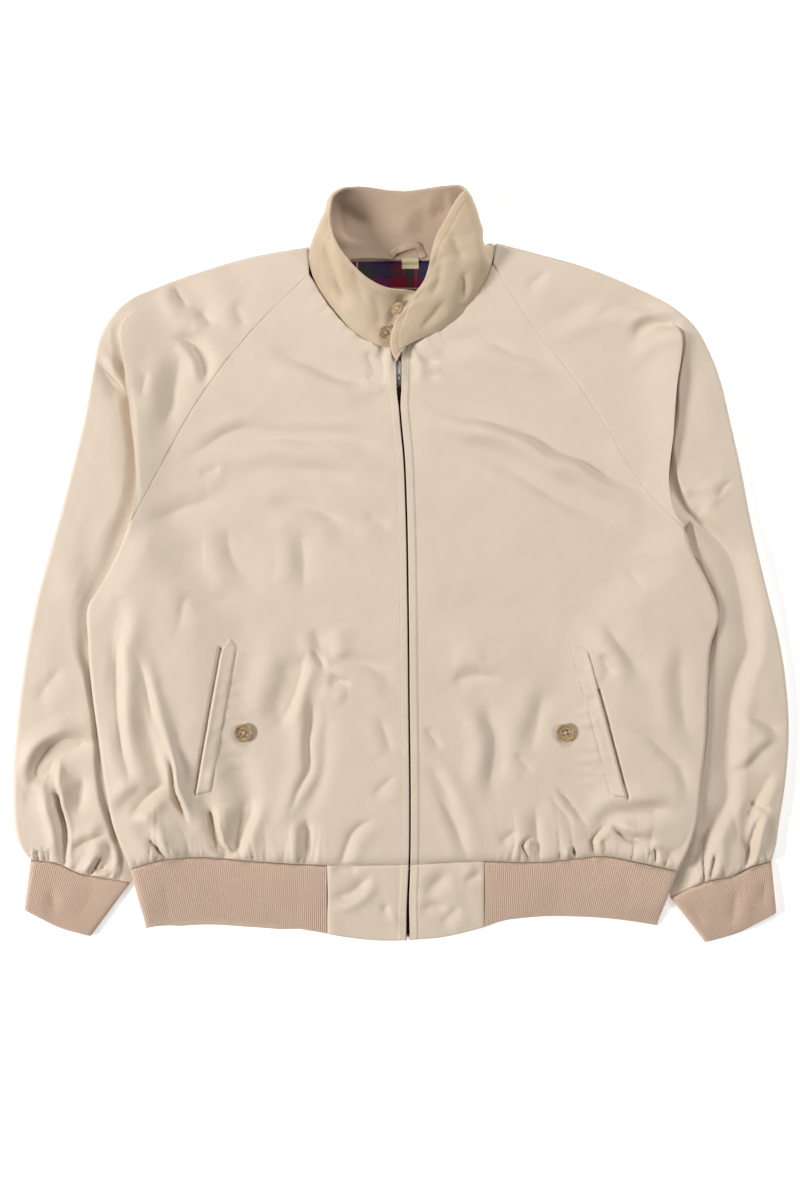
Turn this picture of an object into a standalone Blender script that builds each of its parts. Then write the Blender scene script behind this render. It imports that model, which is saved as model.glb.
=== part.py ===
"""A harrington jacket laid flat, front up, on a table.

Every piece that a maker cuts and sews on is an object of its own: two fronts, a back, a back
lining, raglan sleeves of a front and a back half, rib-knit cuffs and waistband, cloth tabs at the
zip, a stand collar of an outer and an inner ply, pocket welts, buttons, a zip and a hanger loop.
The pieces lie on each other: sleeve under back, back under lining, lining under front.

Tables are in millimetres: x runs across the jacket, y from hem to collar, z up from the table,
and the origin is the middle of the jacket on the table. +x is the wearer's left.
"""

import math

import bmesh
import bpy
import numpy as np
from mathutils import Vector
from mathutils.bvhtree import BVHTree

MM = 0.001

# Driving dimensions, in millimetres
SHELL = 2.2  # a front or a sleeve front: shell cloth with what backs it
UNDER = 1.8  # the cloth that lies on the table: back and sleeve backs
LINING = 1.0
COLLAR_OUTER, COLLAR_INNER = 1.5, 1.2
RIB_KNIT = 2.4
PLY_GAP = 0.3  # between plies that lie on each other
SEAM_GAP = 0.35  # half the gap left along a seam in plan
RIB_PITCH, RIB_RISE = 2.1, 0.45
SLEEVE_STACK = 5.2  # what the back rises by where it lies over a sleeve
PUFF = 3.3  # how far a front stands off what is under it
PUFF_OVER_SLEEVE = 2.2  # what that grows by over a sleeve
BLOUSE, BLOUSE_Y, BLOUSE_WIDTH = 1.6, -262.0, 26.0  # fullness above the waistband
HEM_FALL = 24.0  # how far above the hem seam a front has come down to it
ROLL = 15.0  # how wide the rounded side edge of the body is
GATHER_RISE = 1.1
PLACKET, PLACKET_WIDTH = 0.7, 8.0
CUFF_HEIGHT, CUFF_WALL = 5.2, 2.4
POCKET_BUTTON, COLLAR_BUTTON = 20.0, 15.0  # diameters
TAPE_LOW, TAPE_THICK, CHAIN_WIDTH = 2.2, 0.7, 5.0
ZIP_CLEAR = 4.3  # underside of the cloth beside the zip, over the chain
TAPE_WIDTH, TAPE_TOP, TAPE_BOTTOM = 13.0, 206.0, -373.0  # from the zip's middle; ends of the tapes
SLIDER_WIDTH, SLIDER_LENGTH, SLIDER_HEIGHT = 5.0, 11.0, 3.8
SLIDER_Y, SLIDER_TOP = 182.0, 6.4  # the slider's middle along the zip, and its top face
ARCH_SPAN, ARCH_WIDTH, ARCH_RISE = 4.4, 1.4, 2.8
HINGE_Y, HINGE_RISE = 1.5, 1.0  # the hinge from the slider's middle, and over its top face
TAB_WIDTH, TAB_LENGTH, TAB_THICK = 4.2, 17.0, 0.9
LOOP_WIDTH, LOOP_THICK, LOOP_RISE = 6.0, 1.0, 2.5
LABEL_THICK = 0.6

# Outline, one table for each edge
SIDE_EDGE = {  # body's side edges, hem to underarm: (x, y)
    "right": [(-269, -306), (-286, -263), (-294, -223), (-301, -173), (-307, -128),
              (-311, -78), (-310, -42), (-301, -28), (-283, 6), (-267, 41)],
    "left": [(277, -308), (290, -280), (296, -258), (300, -223), (305, -178),
             (307, -128), (310, -83), (318, -56), (308, -23), (293, 6), (282, 34)],
}
RAGLAN_FRONT = {  # seam from underarm to neck: (x, y)
    "right": [(-267, 41), (-240, 92), (-213, 143), (-174, 200), (-133, 247), (-91, 287)],
    "left": [(282, 34), (267, 49), (241, 79), (208, 132), (165, 196), (133, 236), (93, 297)],
}
RAGLAN_BACK = {
    "right": [(-267, 41), (-225, 95), (-180, 160), (-125, 235), (-66, 303.5)],
    "left": [(282, 34), (235, 90), (185, 158), (128, 236), (70, 304.5)],
}
NECK_FRONT = {  # neck seam from raglan seam to zip: (x, y)
    "right": [(-91, 287), (-77, 265), (-58, 240), (-35, 224), (-14, 216), (-3, 213)],
    "left": [(93, 297), (77, 268), (52, 242), (27, 226), (14, 219), (4, 214)],
}
NECK_BACK = [(-66, 303.5), (-40, 301.5), (0, 300.5), (40, 301), (70, 304.5)]
ZIP_LINE = [(8, -378), (8, -340), (9.5, -302), (10, -240), (9, -140), (8, -40), (6, 60), (4, 106),
            (0.8, 140), (-0.8, 162), (-1, 180), (-1, 214)]
ZIP_SLIT = [  # y, half the opening between the front edges
    (-378, 2.4), (-330, 1.6), (-290, 1.4), (156, 1.5), (172, 2.9), (192, 3.1), (214, 3.2)]
HEM_SEAM = [(-269, -306), (-240, -298), (-200, -295), (-160, -298), (-120, -301), (-73, -303),
            (9, -302), (85, -299), (140, -300), (180, -296), (200, -294), (240, -300), (277, -308)]
HEM_EDGE = [(-254, -366), (-228, -360), (-200, -358), (-150, -361), (-110, -365), (-73, -371),
            (-50, -375), (-15, -378), (9, -377), (45, -374), (70, -368), (85, -364), (100, -359),
            (130, -355), (170, -354), (210, -356), (240, -360), (257, -363)]
TAB_END = {"right": -73, "left": 85}  # x of a cloth tab's outer end

# Sleeve sections from neck to cuff. inner and outer are the section's ends, fold is the share of
# its width at which the arm turns under the shoulder, or at which the body covers it, and step is
# how far down that turn goes as a share of the shoulder's height over the arm.
SLEEVE = {
    "right": [  # inner x, inner y, outer x, outer y, fold, step
        (-91, 287, -94, 315, 0.45, 0.0),
        (-115, 265, -145, 306, 0.50, 0.0),
        (-145, 234, -195, 292, 0.58, 0.0),
        (-174, 200, -240, 276, 0.68, 0.0),
        (-197, 167, -272, 261, 0.86, 0.0),
        (-213, 143, -291, 242, 0.85, 0.45),
        (-227, 119, -301, 222, 0.65, 1.0),
        (-240, 92, -307, 192, 0.44, 1.0),
        (-255, 64, -315, 147, 0.21, 1.0),
        (-267, 41, -325, 105, 0.09, 1.0),
        (-279, 23, -336, 62, 0.09, 1.0),
        (-262, 0, -350, 12, 0.28, 1.0),
        (-236, -30, -362, -32, 0.52, 1.0),
        (-216, -75, -372, -80, 0.60, 1.0),
        (-208, -120, -379, -125, 0.58, 1.0),
        (-212, -175, -385, -182, 0.50, 1.0),
        (-226, -228, -387, -232, 0.42, 1.0),
        (-244, -270, -384, -272, 0.28, 1.0),
        (-258, -300, -378, -288, 0.16, 1.0),
        (-270, -321, -370, -298, 0.10, 1.0),
    ],
    "left": [
        (93, 297, 97, 319, 0.45, 0.0),
        (118, 261, 135, 309, 0.50, 0.0),
        (146, 220, 185, 295, 0.58, 0.0),
        (172, 186, 230, 277, 0.70, 0.0),
        (195, 152, 270, 255, 0.88, 0.0),
        (212, 126, 294, 233, 0.83, 0.45),
        (226, 104, 308, 207, 0.62, 1.0),
        (241, 80, 318, 180, 0.43, 1.0),
        (262, 54, 328, 138, 0.19, 1.0),
        (282, 34, 338, 94, 0.09, 1.0),
        (294, 10, 347, 46, 0.09, 1.0),
        (278, -8, 356, 5, 0.30, 1.0),
        (252, -32, 365, -32, 0.55, 1.0),
        (230, -72, 376, -76, 0.58, 1.0),
        (222, -120, 383, -120, 0.53, 1.0),
        (228, -175, 386, -170, 0.49, 1.0),
        (242, -228, 382, -224, 0.40, 1.0),
        (256, -275, 376, -262, 0.30, 1.0),
        (266, -308, 373, -284, 0.20, 1.0),
        (271, -336, 369, -299, 0.13, 1.0),
    ],
}
CUFF_SEAM = {  # bow of the cuff seam below the straight line between its ends, at shares of its width
    "right": [(0.0, 0.0), (0.25, -1.0), (0.5, -2.5), (0.75, 3.0), (1.0, 0.0)],
    "left": [(0.0, 0.0), (0.2, 3.0), (0.4, 3.0), (0.6, -1.0), (0.8, 2.0), (1.0, 0.0)],
}
HAND = {  # inner and outer end of a cuff at the hand
    "right": [(-309, -374), (-376, -347)],
    "left": [(305, -380), (377, -350)],
}

# Largest folds of the top cloth: both ends, sideways bow, width on each side, rise (trough if below 0)
FOLDS = [
    # x0, y0, x1, y1, bow, width left, width right, rise
    (-282, 262, -285, -30, 16, 26, 10, 4.8),
    (286, 262, 290, -30, -15, 10, 26, 4.8),
    (-132, 217, -15, 184, -10, 16, 9, -1.8),
    (-188, 120, -8, 110, 16, 14, 10, -2.4),
    (-200, 82, -30, 80, 8, 16, 14, -1.2),
    (-252, 42, -150, 60, 6, 14, 12, -1.2),
    (-135, 57, -50, 32, 8, 13, 10, -1.6),
    (-175, 32, -150, -28, 4, 14, 12, -1.2),
    (-100, 32, -92, -20, 0, 14, 10, -1.2),
    (-282, -43, -284, -193, -8, 9, 12, -4.5),
    (-262, -60, -262, -190, 4, 12, 12, 2.2),
    (-260, -128, -214, -262, -8, 8, 11, -4.2),
    (-195, -243, -183, -291, 3, 6, 6, -3.4),
    (-172, -183, -168, -288, 16, 12, 10, -2.4),
    (-102, -88, -122, -164, -5, 12, 10, -2.6),
    (-90, -128, -108, -262, 18, 12, 8, -2.8),
    (-92, -255, -92, -298, 0, 9, 8, -2.2),
    (-85, -68, -74, -104, 4, 9, 9, -1.8),
    (-72, -96, -5, -120, 14, 12, 10, -1.8),
    (-253, -223, -284, -254, 0, 9, 7, -2.6),
    (-267, -258, -240, -296, 4, 6, 8, -2.4),
    (12, 170, 240, 77, 14, 20, 11, -3.6),
    (40, 126, 238, 28, 8, 16, 11, -1.8),
    (40, 224, 158, 200, 10, 12, 10, -1.6),
    (50, -38, 162, -80, 6, 22, 18, -1.4),
    (80, -136, 94, -230, 10, 10, 9, -2.2),
    (50, -122, 90, -120, 8, 9, 9, -1.4),
    (130, -193, 156, -124, 6, 10, 10, -1.6),
    (22, -203, 66, -290, 6, 7, 7, -1.6),
    (200, -52, 246, -120, 4, 12, 9, -2.0),
    (222, -158, 290, -240, 16, 11, 8, -2.4),
    (280, -78, 294, -178, -10, 10, 8, -3.0),
    (188, -276, 272, -251, 14, 8, 8, -4.0),
    (214, -273, 256, -277, -4, 6, 7, -2.4),
    (-228, 288, -192, 236, 6, 14, 10, -2.0),
    (-228, 228, -196, 172, 16, 9, 10, -2.8),
    (-219, 212, -236, 122, 0, 14, 10, -2.4),
    (-180, 300, -145, 258, 4, 14, 12, -1.2),
    (150, 240, 266, 256, 14, 12, 9, -1.8),
    (228, 216, 290, 236, 12, 10, 8, -2.6),
]
ARM_FOLDS = [
    (-304, 202, -276, 150, 8, 6, 12, -3.0),
    (-318, 20, -292, -30, 0, 16, 14, -1.6),
    (-371, -224, -306, -180, 16, 8, 9, -4.0),
    (-348, -222, -333, -298, 3, 7, 5, -3.8),
    (-326, -195, -318, -262, 0, 16, 12, -2.0),
    (-304, -312, -294, -272, -8, 6, 8, -2.6),
    (-378, -240, -352, -236, 4, 8, 8, -1.4),
    (282, 68, 300, 40, 6, 9, 9, -2.4),
    (322, 20, 344, -80, 6, 14, 14, -3.4),
    (345, -142, 382, -178, 4, 10, 8, -2.0),
    (372, -190, 344, -250, -8, 12, 10, -1.8),
    (358, -236, 346, -296, -6, 7, 7, -4.0),
    (306, -262, 303, -318, 2, 6, 7, -3.6),
]

# Collar stations from the button end round the back to the lapped end, at the middle of its plies
COLLAR = [
    # seam x, y, z, middle x, y, z, top edge x, y, z
    (11, 220.5, 8.2, 17, 244, 10.5, 24, 268, 14.5),
    (-1, 217.5, 8.4, 2, 244, 13, 6, 270, 18.5),
    (-15, 218, 8.8, -13, 245, 16, -12, 271, 24),
    (-31, 224, 8.8, -30, 251, 18, -29, 278, 28),
    (-48, 235, 8.6, -45, 260, 17.5, -43, 289, 31),
    (-63, 251, 8.2, -56, 271, 15, -53, 300, 33),
    (-75.5, 268, 7.8, -67, 284, 14, -61, 311, 35),
    (-86, 287.5, 7.2, -75, 301, 14, -67, 325, 36),
    (-90, 304, 6.4, -80, 315, 17, -69, 337, 37),
    (-88, 315, 5.4, -82, 327, 20, -68, 348, 37),
    (-80, 313, 4.4, -78, 340, 18, -66, 358, 34),
    (-64, 307, 3.4, -69, 353, 14, -57, 367, 28),
    (-44, 304, 3.2, -50, 338, 7, -43, 372, 20),
    (0, 302.5, 3.2, 0, 336, 5, 1, 369, 12),
    (46, 303.5, 3.2, 49, 340, 9, 45, 372, 23),
    (66, 307, 3.6, 70, 350, 15, 58, 370, 31),
    (82, 314, 4.4, 79, 335, 22, 63, 364, 37),
    (91, 316, 5.6, 81, 321, 24, 58, 359, 39),
    (92, 305, 6.8, 81, 311, 24, 51, 348, 39),
    (88, 291, 7.8, 75, 301, 26, 44, 335, 38),
    (79, 274, 8.4, 62, 287, 26, 37, 323, 37),
    (66, 257, 8.6, 49, 273, 25, 32, 309, 35),
    (50, 242, 8.8, 37, 260, 23, 29, 294, 32),
    (33, 231, 9.2, 25, 249, 21, 24, 278, 28),
    (16, 223, 11.5, 12, 240, 19.5, 15, 266, 25),
    (2, 217, 13.5, 5, 235, 18, 10, 259, 23),
    (-9, 210, 14.5, -1, 239, 17.5, 7, 255, 22.5),
]

# Pockets: ends of the slanted opening, and the button beside it
POCKET = {
    "right": ((-177.5, -86), (-203, -232), (-156, -170.5)),
    "left": ((186, -88), (225, -235), (165, -170.5)),
}
WELT_WIDTH, WELT_THICK = 15.0, 1.2
COLLAR_BUTTONS = {"upper": (-2, 251), "lower": (-14, 228)}
LOOP_ROUTE = [(-7, 306), (-3, 313), (4, 317), (14, 317), (19, 312), (23, 304)]
LABEL_PLACE = (2, 18, 292.5, 300)  # x from, x to, y from, y to


# Curves and small shape functions

def smooth_line(rows, steps=16):
    """Points of a smooth line through the rows of a table."""
    rows = np.array(rows, float)
    along = np.concatenate([[0], np.cumsum(np.linalg.norm(np.diff(rows, axis=0), axis=1))])
    slope = np.gradient(rows, along, axis=0)
    line = []
    for k in range(len(rows) - 1):
        span = along[k + 1] - along[k]
        for t in np.arange(steps) / steps:
            a, b = 2 * t**3 - 3 * t**2 + 1, t**3 - 2 * t**2 + t
            c, d = 3 * t**2 - 2 * t**3, t**3 - t**2
            line.append(a * rows[k] + b * span * slope[k] + c * rows[k + 1] + d * span * slope[k + 1])
    return np.array(line + [rows[-1]])


def at_share(line, share):
    """The points at shares of a line's length."""
    along = np.concatenate([[0], np.cumsum(np.linalg.norm(np.diff(line, axis=0), axis=1))])
    return np.stack([np.interp(share, along / along[-1], column) for column in line.T], axis=-1)


def x_at(line, y):
    order = np.argsort(line[:, 1], kind="stable")
    return np.interp(y, line[order, 1], line[order, 0])


def y_at(line, x):
    order = np.argsort(line[:, 0], kind="stable")
    return np.interp(x, line[order, 0], line[order, 1])


def ease(t):
    t = np.clip(t, 0, 1)
    return t * t * (3 - 2 * t)


def quarter_round(t):
    """0 at an edge, rising like a quarter circle to 1."""
    return np.sqrt(np.clip(1 - (1 - np.clip(t, 0, 1)) ** 2, 0, 1))


def folds_height(folds, x, y):
    """The height that a table of folds adds at points. A trough has a ridge along its steeper side."""
    height = np.zeros(np.shape(x))
    for x0, y0, x1, y1, bow, left, right, rise in folds:
        steep = -1 if right < left else 1
        narrow = min(left, right)
        length = math.hypot(x1 - x0, y1 - y0)
        dx, dy = (x1 - x0) / length, (y1 - y0) / length
        along = (x - x0) * dx + (y - y0) * dy
        share = np.clip(along / length, 0, 1)
        side = (x - x0) * -dy + (y - y0) * dx - bow * 4 * share * (1 - share)
        past = along - share * length
        width = np.where(side > 0, left, right)
        taper = ease(share / 0.3) * ease((1 - share) / 0.3) * 0.75 + 0.25
        form = np.exp(-((side / width) ** 2))
        if rise < 0:
            form = form - 0.9 * np.exp(-(((side - steep * 2.1 * narrow) / (1.2 * narrow)) ** 2))
        height = height + rise * taper * form * np.exp(-((past / 10) ** 2))
    return height


SIDES = {side: smooth_line(rows) for side, rows in SIDE_EDGE.items()}
RAGLANS = {side: smooth_line(rows) for side, rows in RAGLAN_FRONT.items()}
BACK_RAGLANS = {side: smooth_line(rows) for side, rows in RAGLAN_BACK.items()}
NECKS = {side: smooth_line(rows) for side, rows in NECK_FRONT.items()}
BACK_NECK = smooth_line(NECK_BACK)
ZIP = smooth_line(ZIP_LINE)
SEAM = smooth_line(HEM_SEAM)
EDGE = smooth_line(HEM_EDGE)
SECTIONS = {side: smooth_line(rows, steps=8) for side, rows in SLEEVE.items()}
OUTWARD = {"right": -1, "left": 1}
UNDERARM = {side: rows[-1][1] for side, rows in SIDE_EDGE.items()}
ZIP_BOTTOM, HEM_BOTTOM = -302.0, -378.0
FRONT_COLUMNS = np.array([0, .014, .04, .085, .145, .215, .29, .365, .44, .515, .59, .66, .73, .80, .87, .94,
                          .966, .976, 1])
LINING_BOTTOM = 216.0


def slit(y):
    return np.interp(y, [row[0] for row in ZIP_SLIT], [row[1] for row in ZIP_SLIT])


def sleeve_inner(side):
    """The hidden inner edge of an arm, under the body, with a lead-in above the underarm."""
    rows = [(row[0], row[1]) for row in SLEEVE[side][10:]]
    out = OUTWARD[side]
    first = rows[0]
    return smooth_line([(first[0] + 26 * out, first[1] + 24), (first[0] + 11 * out, first[1] + 11)] + rows)


INNER = {side: sleeve_inner(side) for side in SLEEVE}


def hem_line():
    """The hem seam as a line with a point at each column of the fronts."""
    x = [SIDE_EDGE[side][0][0] * (1 - u) + (x_at(ZIP, ZIP_BOTTOM) + out * slit(ZIP_BOTTOM)) * u
         for side, out in OUTWARD.items() for u in FRONT_COLUMNS]
    x = np.sort(x)
    return np.column_stack([x, y_at(SEAM, x)])


HEM = hem_line()


def over_sleeve(x, y):
    """0 where the body lies on the table, 1 where it lies over a sleeve."""
    share = np.zeros(np.shape(x))
    for side, out in OUTWARD.items():
        inside = (x - x_at(INNER[side], y)) * out
        share = np.maximum(share, ease((inside + 28) / 30) * ease((y + 362) / 26))
    return share


def back_low(x, y):
    """The height of the back's underside, which climbs over the sleeves."""
    return SLEEVE_STACK * over_sleeve(x, y)


def side_rim(x, y):
    """0 at the body's side edges, rising like a rolled edge to 1, and 1 all over above the underarm."""
    rim = np.ones(np.shape(x))
    for side, out in OUTWARD.items():
        rolled = quarter_round((x_at(SIDES[side], y) - x) * out / ROLL)
        above = ease((y - UNDERARM[side] + 25) / 30)
        rim = np.minimum(rim, rolled + (1 - rolled) * above)
    return rim


def body_top(x, y):
    """The top of the cloth over chest and shoulders, folds included."""
    over = over_sleeve(x, y)
    hem = ease((y - y_at(SEAM, x) + 2) / HEM_FALL)
    lift = PUFF + PUFF_OVER_SLEEVE * over + BLOUSE * np.exp(-(((y - BLOUSE_Y) / BLOUSE_WIDTH) ** 2))
    rise = np.maximum(lift + folds_height(FOLDS, x, y), 0.4)
    return SLEEVE_STACK * over + UNDER + PLY_GAP + SHELL + side_rim(x, y) * hem * rise


# Meshes

def stitch(bm, first, second):
    """Faces between two chains of (share, vertex), a quad where their shares agree and triangles between."""
    i = j = 0
    while i < len(first) - 1 or j < len(second) - 1:
        ahead = first[i + 1][0] if i < len(first) - 1 else math.inf
        other = second[j + 1][0] if j < len(second) - 1 else math.inf
        a, b = first[i][1], second[j][1]
        if abs(ahead - other) < 1e-6:
            bm.faces.new((a, first[i + 1][1], second[j + 1][1]))
            bm.faces.new((a, second[j + 1][1], b))
            i, j = i + 1, j + 1
        elif ahead < other:
            bm.faces.new((a, first[i + 1][1], b))
            i += 1
        else:
            bm.faces.new((a, second[j + 1][1], b))
            j += 1


def rim(bm, fine, plain):
    """A rim from a finely divided edge to a plain one, whose shares are all among the fine edge's."""
    shares = np.array([u for u, _ in fine])
    marks = [int(np.argmin(np.abs(shares - u))) for u, _ in plain]
    for k in range(len(plain) - 1):
        loop = [vertex for _, vertex in fine[marks[k]:marks[k + 1] + 1]]
        bm.faces.new(loop + [plain[k + 1][1], plain[k][1]])


def chains(bm, sheet):
    """The sheet's rows as chains of vertices. A sheet is a list of (shares, points), one for each row."""
    return [[(u, bm.verts.new(Vector(p) * MM)) for u, p in zip(shares, row)] for shares, row in sheet]


def edge_chain(rows, index):
    return [(k, row[index][1]) for k, row in enumerate(rows)]


def wall(name, outer, inner, finish, ring=False):
    """A closed wall between two sheets: both sheets and the rims between their edges."""
    bm = bmesh.new()
    outer_rows, inner_rows = chains(bm, outer), chains(bm, inner)
    if ring:
        outer_rows = [row + [(1.0, row[0][1])] for row in outer_rows]
        inner_rows = [row + [(1.0, row[0][1])] for row in inner_rows]
    for rows in (outer_rows, inner_rows):
        for first, second in zip(rows, rows[1:]):
            stitch(bm, first, second)
    rim(bm, outer_rows[0], inner_rows[0])
    rim(bm, outer_rows[-1], inner_rows[-1])
    if not ring:
        stitch(bm, edge_chain(outer_rows, 0), edge_chain(inner_rows, 0))
        stitch(bm, edge_chain(outer_rows, -1), edge_chain(inner_rows, -1))
    bmesh.ops.recalc_face_normals(bm, faces=bm.faces)
    return add_object(name, bm, finish)


def add_object(name, bm, finish):
    mesh = bpy.data.meshes.new(name)
    bm.to_mesh(mesh)
    bm.free()
    for polygon in mesh.polygons:
        polygon.use_smooth = True
    mesh.set_sharp_from_angle(angle=math.radians(50))
    mesh.materials.append(finish)
    obj = bpy.data.objects.new(name, mesh)
    bpy.context.scene.collection.objects.link(obj)
    return obj


def normals_of(points):
    """Unit normals of a grid of points, upwards."""
    across = np.gradient(points, axis=1)
    along = np.gradient(points, axis=0)
    normal = np.cross(across, along)
    normal /= np.linalg.norm(normal, axis=2, keepdims=True) + 1e-12
    return normal * np.where(normal[..., 2:] < 0, -1, 1)


def lowered(points, thickness, slant=0.6):
    """A grid of points moved down by a wall's thickness, leaning with the surface's slope."""
    normal = normals_of(points)
    normal[..., :2] *= slant
    edge = np.ones(points.shape[:2])
    edge[0, :] = edge[-1, :] = edge[:, 0] = edge[:, -1] = 0
    normal[..., :2] *= edge[..., None]
    return points - thickness * normal / np.maximum(normal[..., 2:], 0.5)


def sheet_of(points, shares):
    return [(shares, row) for row in points]


# Fronts

SIDE_RISES = np.array([0, 6, 14, 28, 48, 70, 94, 120, 146, 172, 198, 224, 250, 276, 300, 322, 347]) / 347
RAGLAN_STEPS = 10  # rows along the raglan seam, the same in a front and its sleeve
GATHER_WAVES = 14


def front_grid(side):
    """Points over one front: columns run from the side to the zip, rows from the hem to the neck."""
    shares = FRONT_COLUMNS
    out = OUTWARD[side]
    side_part = at_share(SIDES[side], SIDE_RISES)
    raglan_part = at_share(RAGLANS[side], np.arange(1, RAGLAN_STEPS + 1) / RAGLAN_STEPS)
    raglan_part[:, 0] -= out * SEAM_GAP
    edge = np.vstack([side_part, raglan_part])
    v = np.concatenate([[0], np.cumsum(np.linalg.norm(np.diff(edge, axis=0), axis=1))])
    v /= v[-1]
    zip_y = ZIP_BOTTOM + (NECKS[side][-1][1] - SEAM_GAP - ZIP_BOTTOM) * v
    zip_edge = np.column_stack([x_at(ZIP, zip_y) + out * slit(zip_y), zip_y])
    hem_x = edge[0, 0] + (zip_edge[0, 0] - edge[0, 0]) * shares
    hem = np.column_stack([hem_x, y_at(HEM, hem_x) + SEAM_GAP])
    neck = at_share(NECKS[side], shares)
    neck[:, 1] -= SEAM_GAP
    hem, neck = hem - hem[0] * (1 - shares[:, None]) - hem[-1] * shares[:, None], \
        neck - neck[0] * (1 - shares[:, None]) - neck[-1] * shares[:, None]
    rows = []
    for k in range(len(v)):
        straight = edge[k] * (1 - shares[:, None]) + zip_edge[k] * shares[:, None]
        xy = straight + hem * (1 - v[k]) ** 3 + neck * v[k] ** 3
        z = body_top(xy[:, 0], xy[:, 1])
        from_zip = np.abs(xy[:, 0] - zip_edge[k, 0])
        over_chain = ZIP_CLEAR + SHELL - 1.5 * ease((from_zip - TAPE_WIDTH - 1) / 30)
        z = np.maximum(z, over_chain) + PLACKET * ease((PLACKET_WIDTH + 1 - from_zip) / 2)
        rows.append(np.column_stack([xy, z]))
    return np.array(rows)


def gathered(side, row, top_row):
    """A front's row near the hem with the waves that the ribs draw it into."""
    rib_share = (TAB_END[side] - SIDES[side][0][0]) / (9 - SIDES[side][0][0])
    k = np.arange(2 * GATHER_WAVES + 1)
    waves = np.clip((k + 0.35 * np.sin(2.3 * k + OUTWARD[side])) / (2 * GATHER_WAVES), 0, 1) * rib_share
    shares = np.concatenate([waves, FRONT_COLUMNS[FRONT_COLUMNS > rib_share + 0.02]])
    points = np.column_stack([np.interp(shares, FRONT_COLUMNS, column) for column in top_row.T])
    strength = (0.65 + 0.35 * np.sin(1.7 * k)) * np.sin(np.pi * k / (2 * GATHER_WAVES)) ** 0.4
    points[:len(k), 2] += GATHER_RISE * strength * np.where(k % 2, 1.5, -0.6) * (1.0 if row < 2 else 0.7)
    return shares, points


def build_front(side, finish):
    top = front_grid(side)
    under = lowered(top, SHELL)
    floor = back_low(under[..., 0], under[..., 1]) + UNDER + PLY_GAP + 0.1
    floor = floor + LINING * ((under[..., 1] > LINING_BOTTOM - 5) & (np.abs(under[..., 0]) < 150))
    under[..., 2] = np.maximum(under[..., 2], floor)
    outer = [gathered(side, row, top[row]) if row in (1, 2) else (FRONT_COLUMNS, top[row]) for row in range(len(top))]
    return wall(f"front_{side}", outer, sheet_of(under, FRONT_COLUMNS), finish)


# Back and its lining

def back_grid(rows, low):
    """A grid over the back. Rows are shares: up to 1 along the side edges, then to 2 along the raglan seams."""
    grid = []
    for row in rows:
        ends = {}
        for side, out in OUTWARD.items():
            line = SIDES[side] if row <= 1 else BACK_RAGLANS[side]
            outer = at_share(line, row if row <= 1 else row - 1)
            outer[0] -= out * SEAM_GAP * (row > 1)
            climb = min((x_at(INNER[side], outer[1]) - outer[0]) * out, -12.0)
            steps = [0, climb * 0.4, climb + 2, climb - 7, climb - 14, climb - 21, climb - 29]
            ends[side] = np.array([(outer[0] + step * out, outer[1]) for step in steps])
        right, left = ends["right"], ends["left"][::-1]
        share = (np.linspace(0, 1, 5)[1:-1])[:, None]
        points = np.vstack([right, right[-1] * (1 - share) + left[0] * share, left])
        level = np.interp(points[:, 0], [right[0, 0], left[-1, 0]], [right[0, 1], left[-1, 1]])
        points[:, 1] = level
        if row == 2:
            points[:, 1] = y_at(BACK_NECK, points[:, 0]) - SEAM_GAP
        z = back_low(points[:, 0], points[:, 1]) + low
        grid.append(np.column_stack([points, z]))
    return np.array(grid)


BACK_RAGLAN = np.array([0, 1, 2, 3, 5, 7, 9]) / 9  # rows along its raglan seams, the same in the sleeve backs
BACK_ROWS = [0, .05, .14, .28, .44, .60, .70, .77, .83, .88, .925, .965, *(1 + BACK_RAGLAN)]


def build_back(finish):
    top, bottom = back_grid(BACK_ROWS, UNDER), back_grid(BACK_ROWS, 0.0)
    shares = np.linspace(0, 1, top.shape[1])
    return wall("back", sheet_of(top, shares), sheet_of(bottom, shares), finish)


def build_lining(finish):
    """The upper part of the lining, as far as the neck shows it."""
    shares = np.linspace(0, 1, 9)
    grid = []
    for y in np.linspace(LINING_BOTTOM, 299, 5):
        x0, x1 = max(x_at(BACK_RAGLANS["right"], y) + 4, -118), min(x_at(BACK_RAGLANS["left"], y) - 4, 118)
        x = x0 + (x1 - x0) * shares
        yy = y_at(BACK_NECK, x) - 2 if y == 299 else np.full(9, y)
        grid.append(np.column_stack([x, yy, np.full(9, UNDER + PLY_GAP)]))
    low = np.array(grid)
    top = low + np.array([0, 0, LINING])
    return wall("lining_back", sheet_of(top, shares), sheet_of(low, shares), finish)


# Sleeves

CAP_SHARES = [0, .08, .28, .52, .78, 1]
ARM_SHARES = [.05, .2, .42, .66, .86, .955, 1]
ARM_REST = 4.4  # top of a sleeve where the body lies on it
ARM_PUFF = 3.4  # what it rises by where it is free
ARM_SECTIONS = 10  # rows of the SLEEVE table from here on are the arm below the underarm
BACK_ARM_SECTIONS = [10, 12, 14, 16, 17, 18, 18.6, 19]  # rows of it in the back half
CUFF_GATHERS, CUFF_GATHER_RISE = 8, 0.8


def sleeve_section(side, s):
    """One section of a sleeve: its inner and outer end, fold share and step."""
    line = SECTIONS[side]
    row = np.array([np.interp(s * 8, np.arange(len(line)), column) for column in line.T])
    inner, outer = row[:2].copy(), row[2:4]
    if s <= ARM_SECTIONS - 1:
        inner = at_share(RAGLANS[side], 1 - s / (ARM_SECTIONS - 1))
        inner[0] += OUTWARD[side] * SEAM_GAP
    return inner, outer, row[4], row[5]


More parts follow.
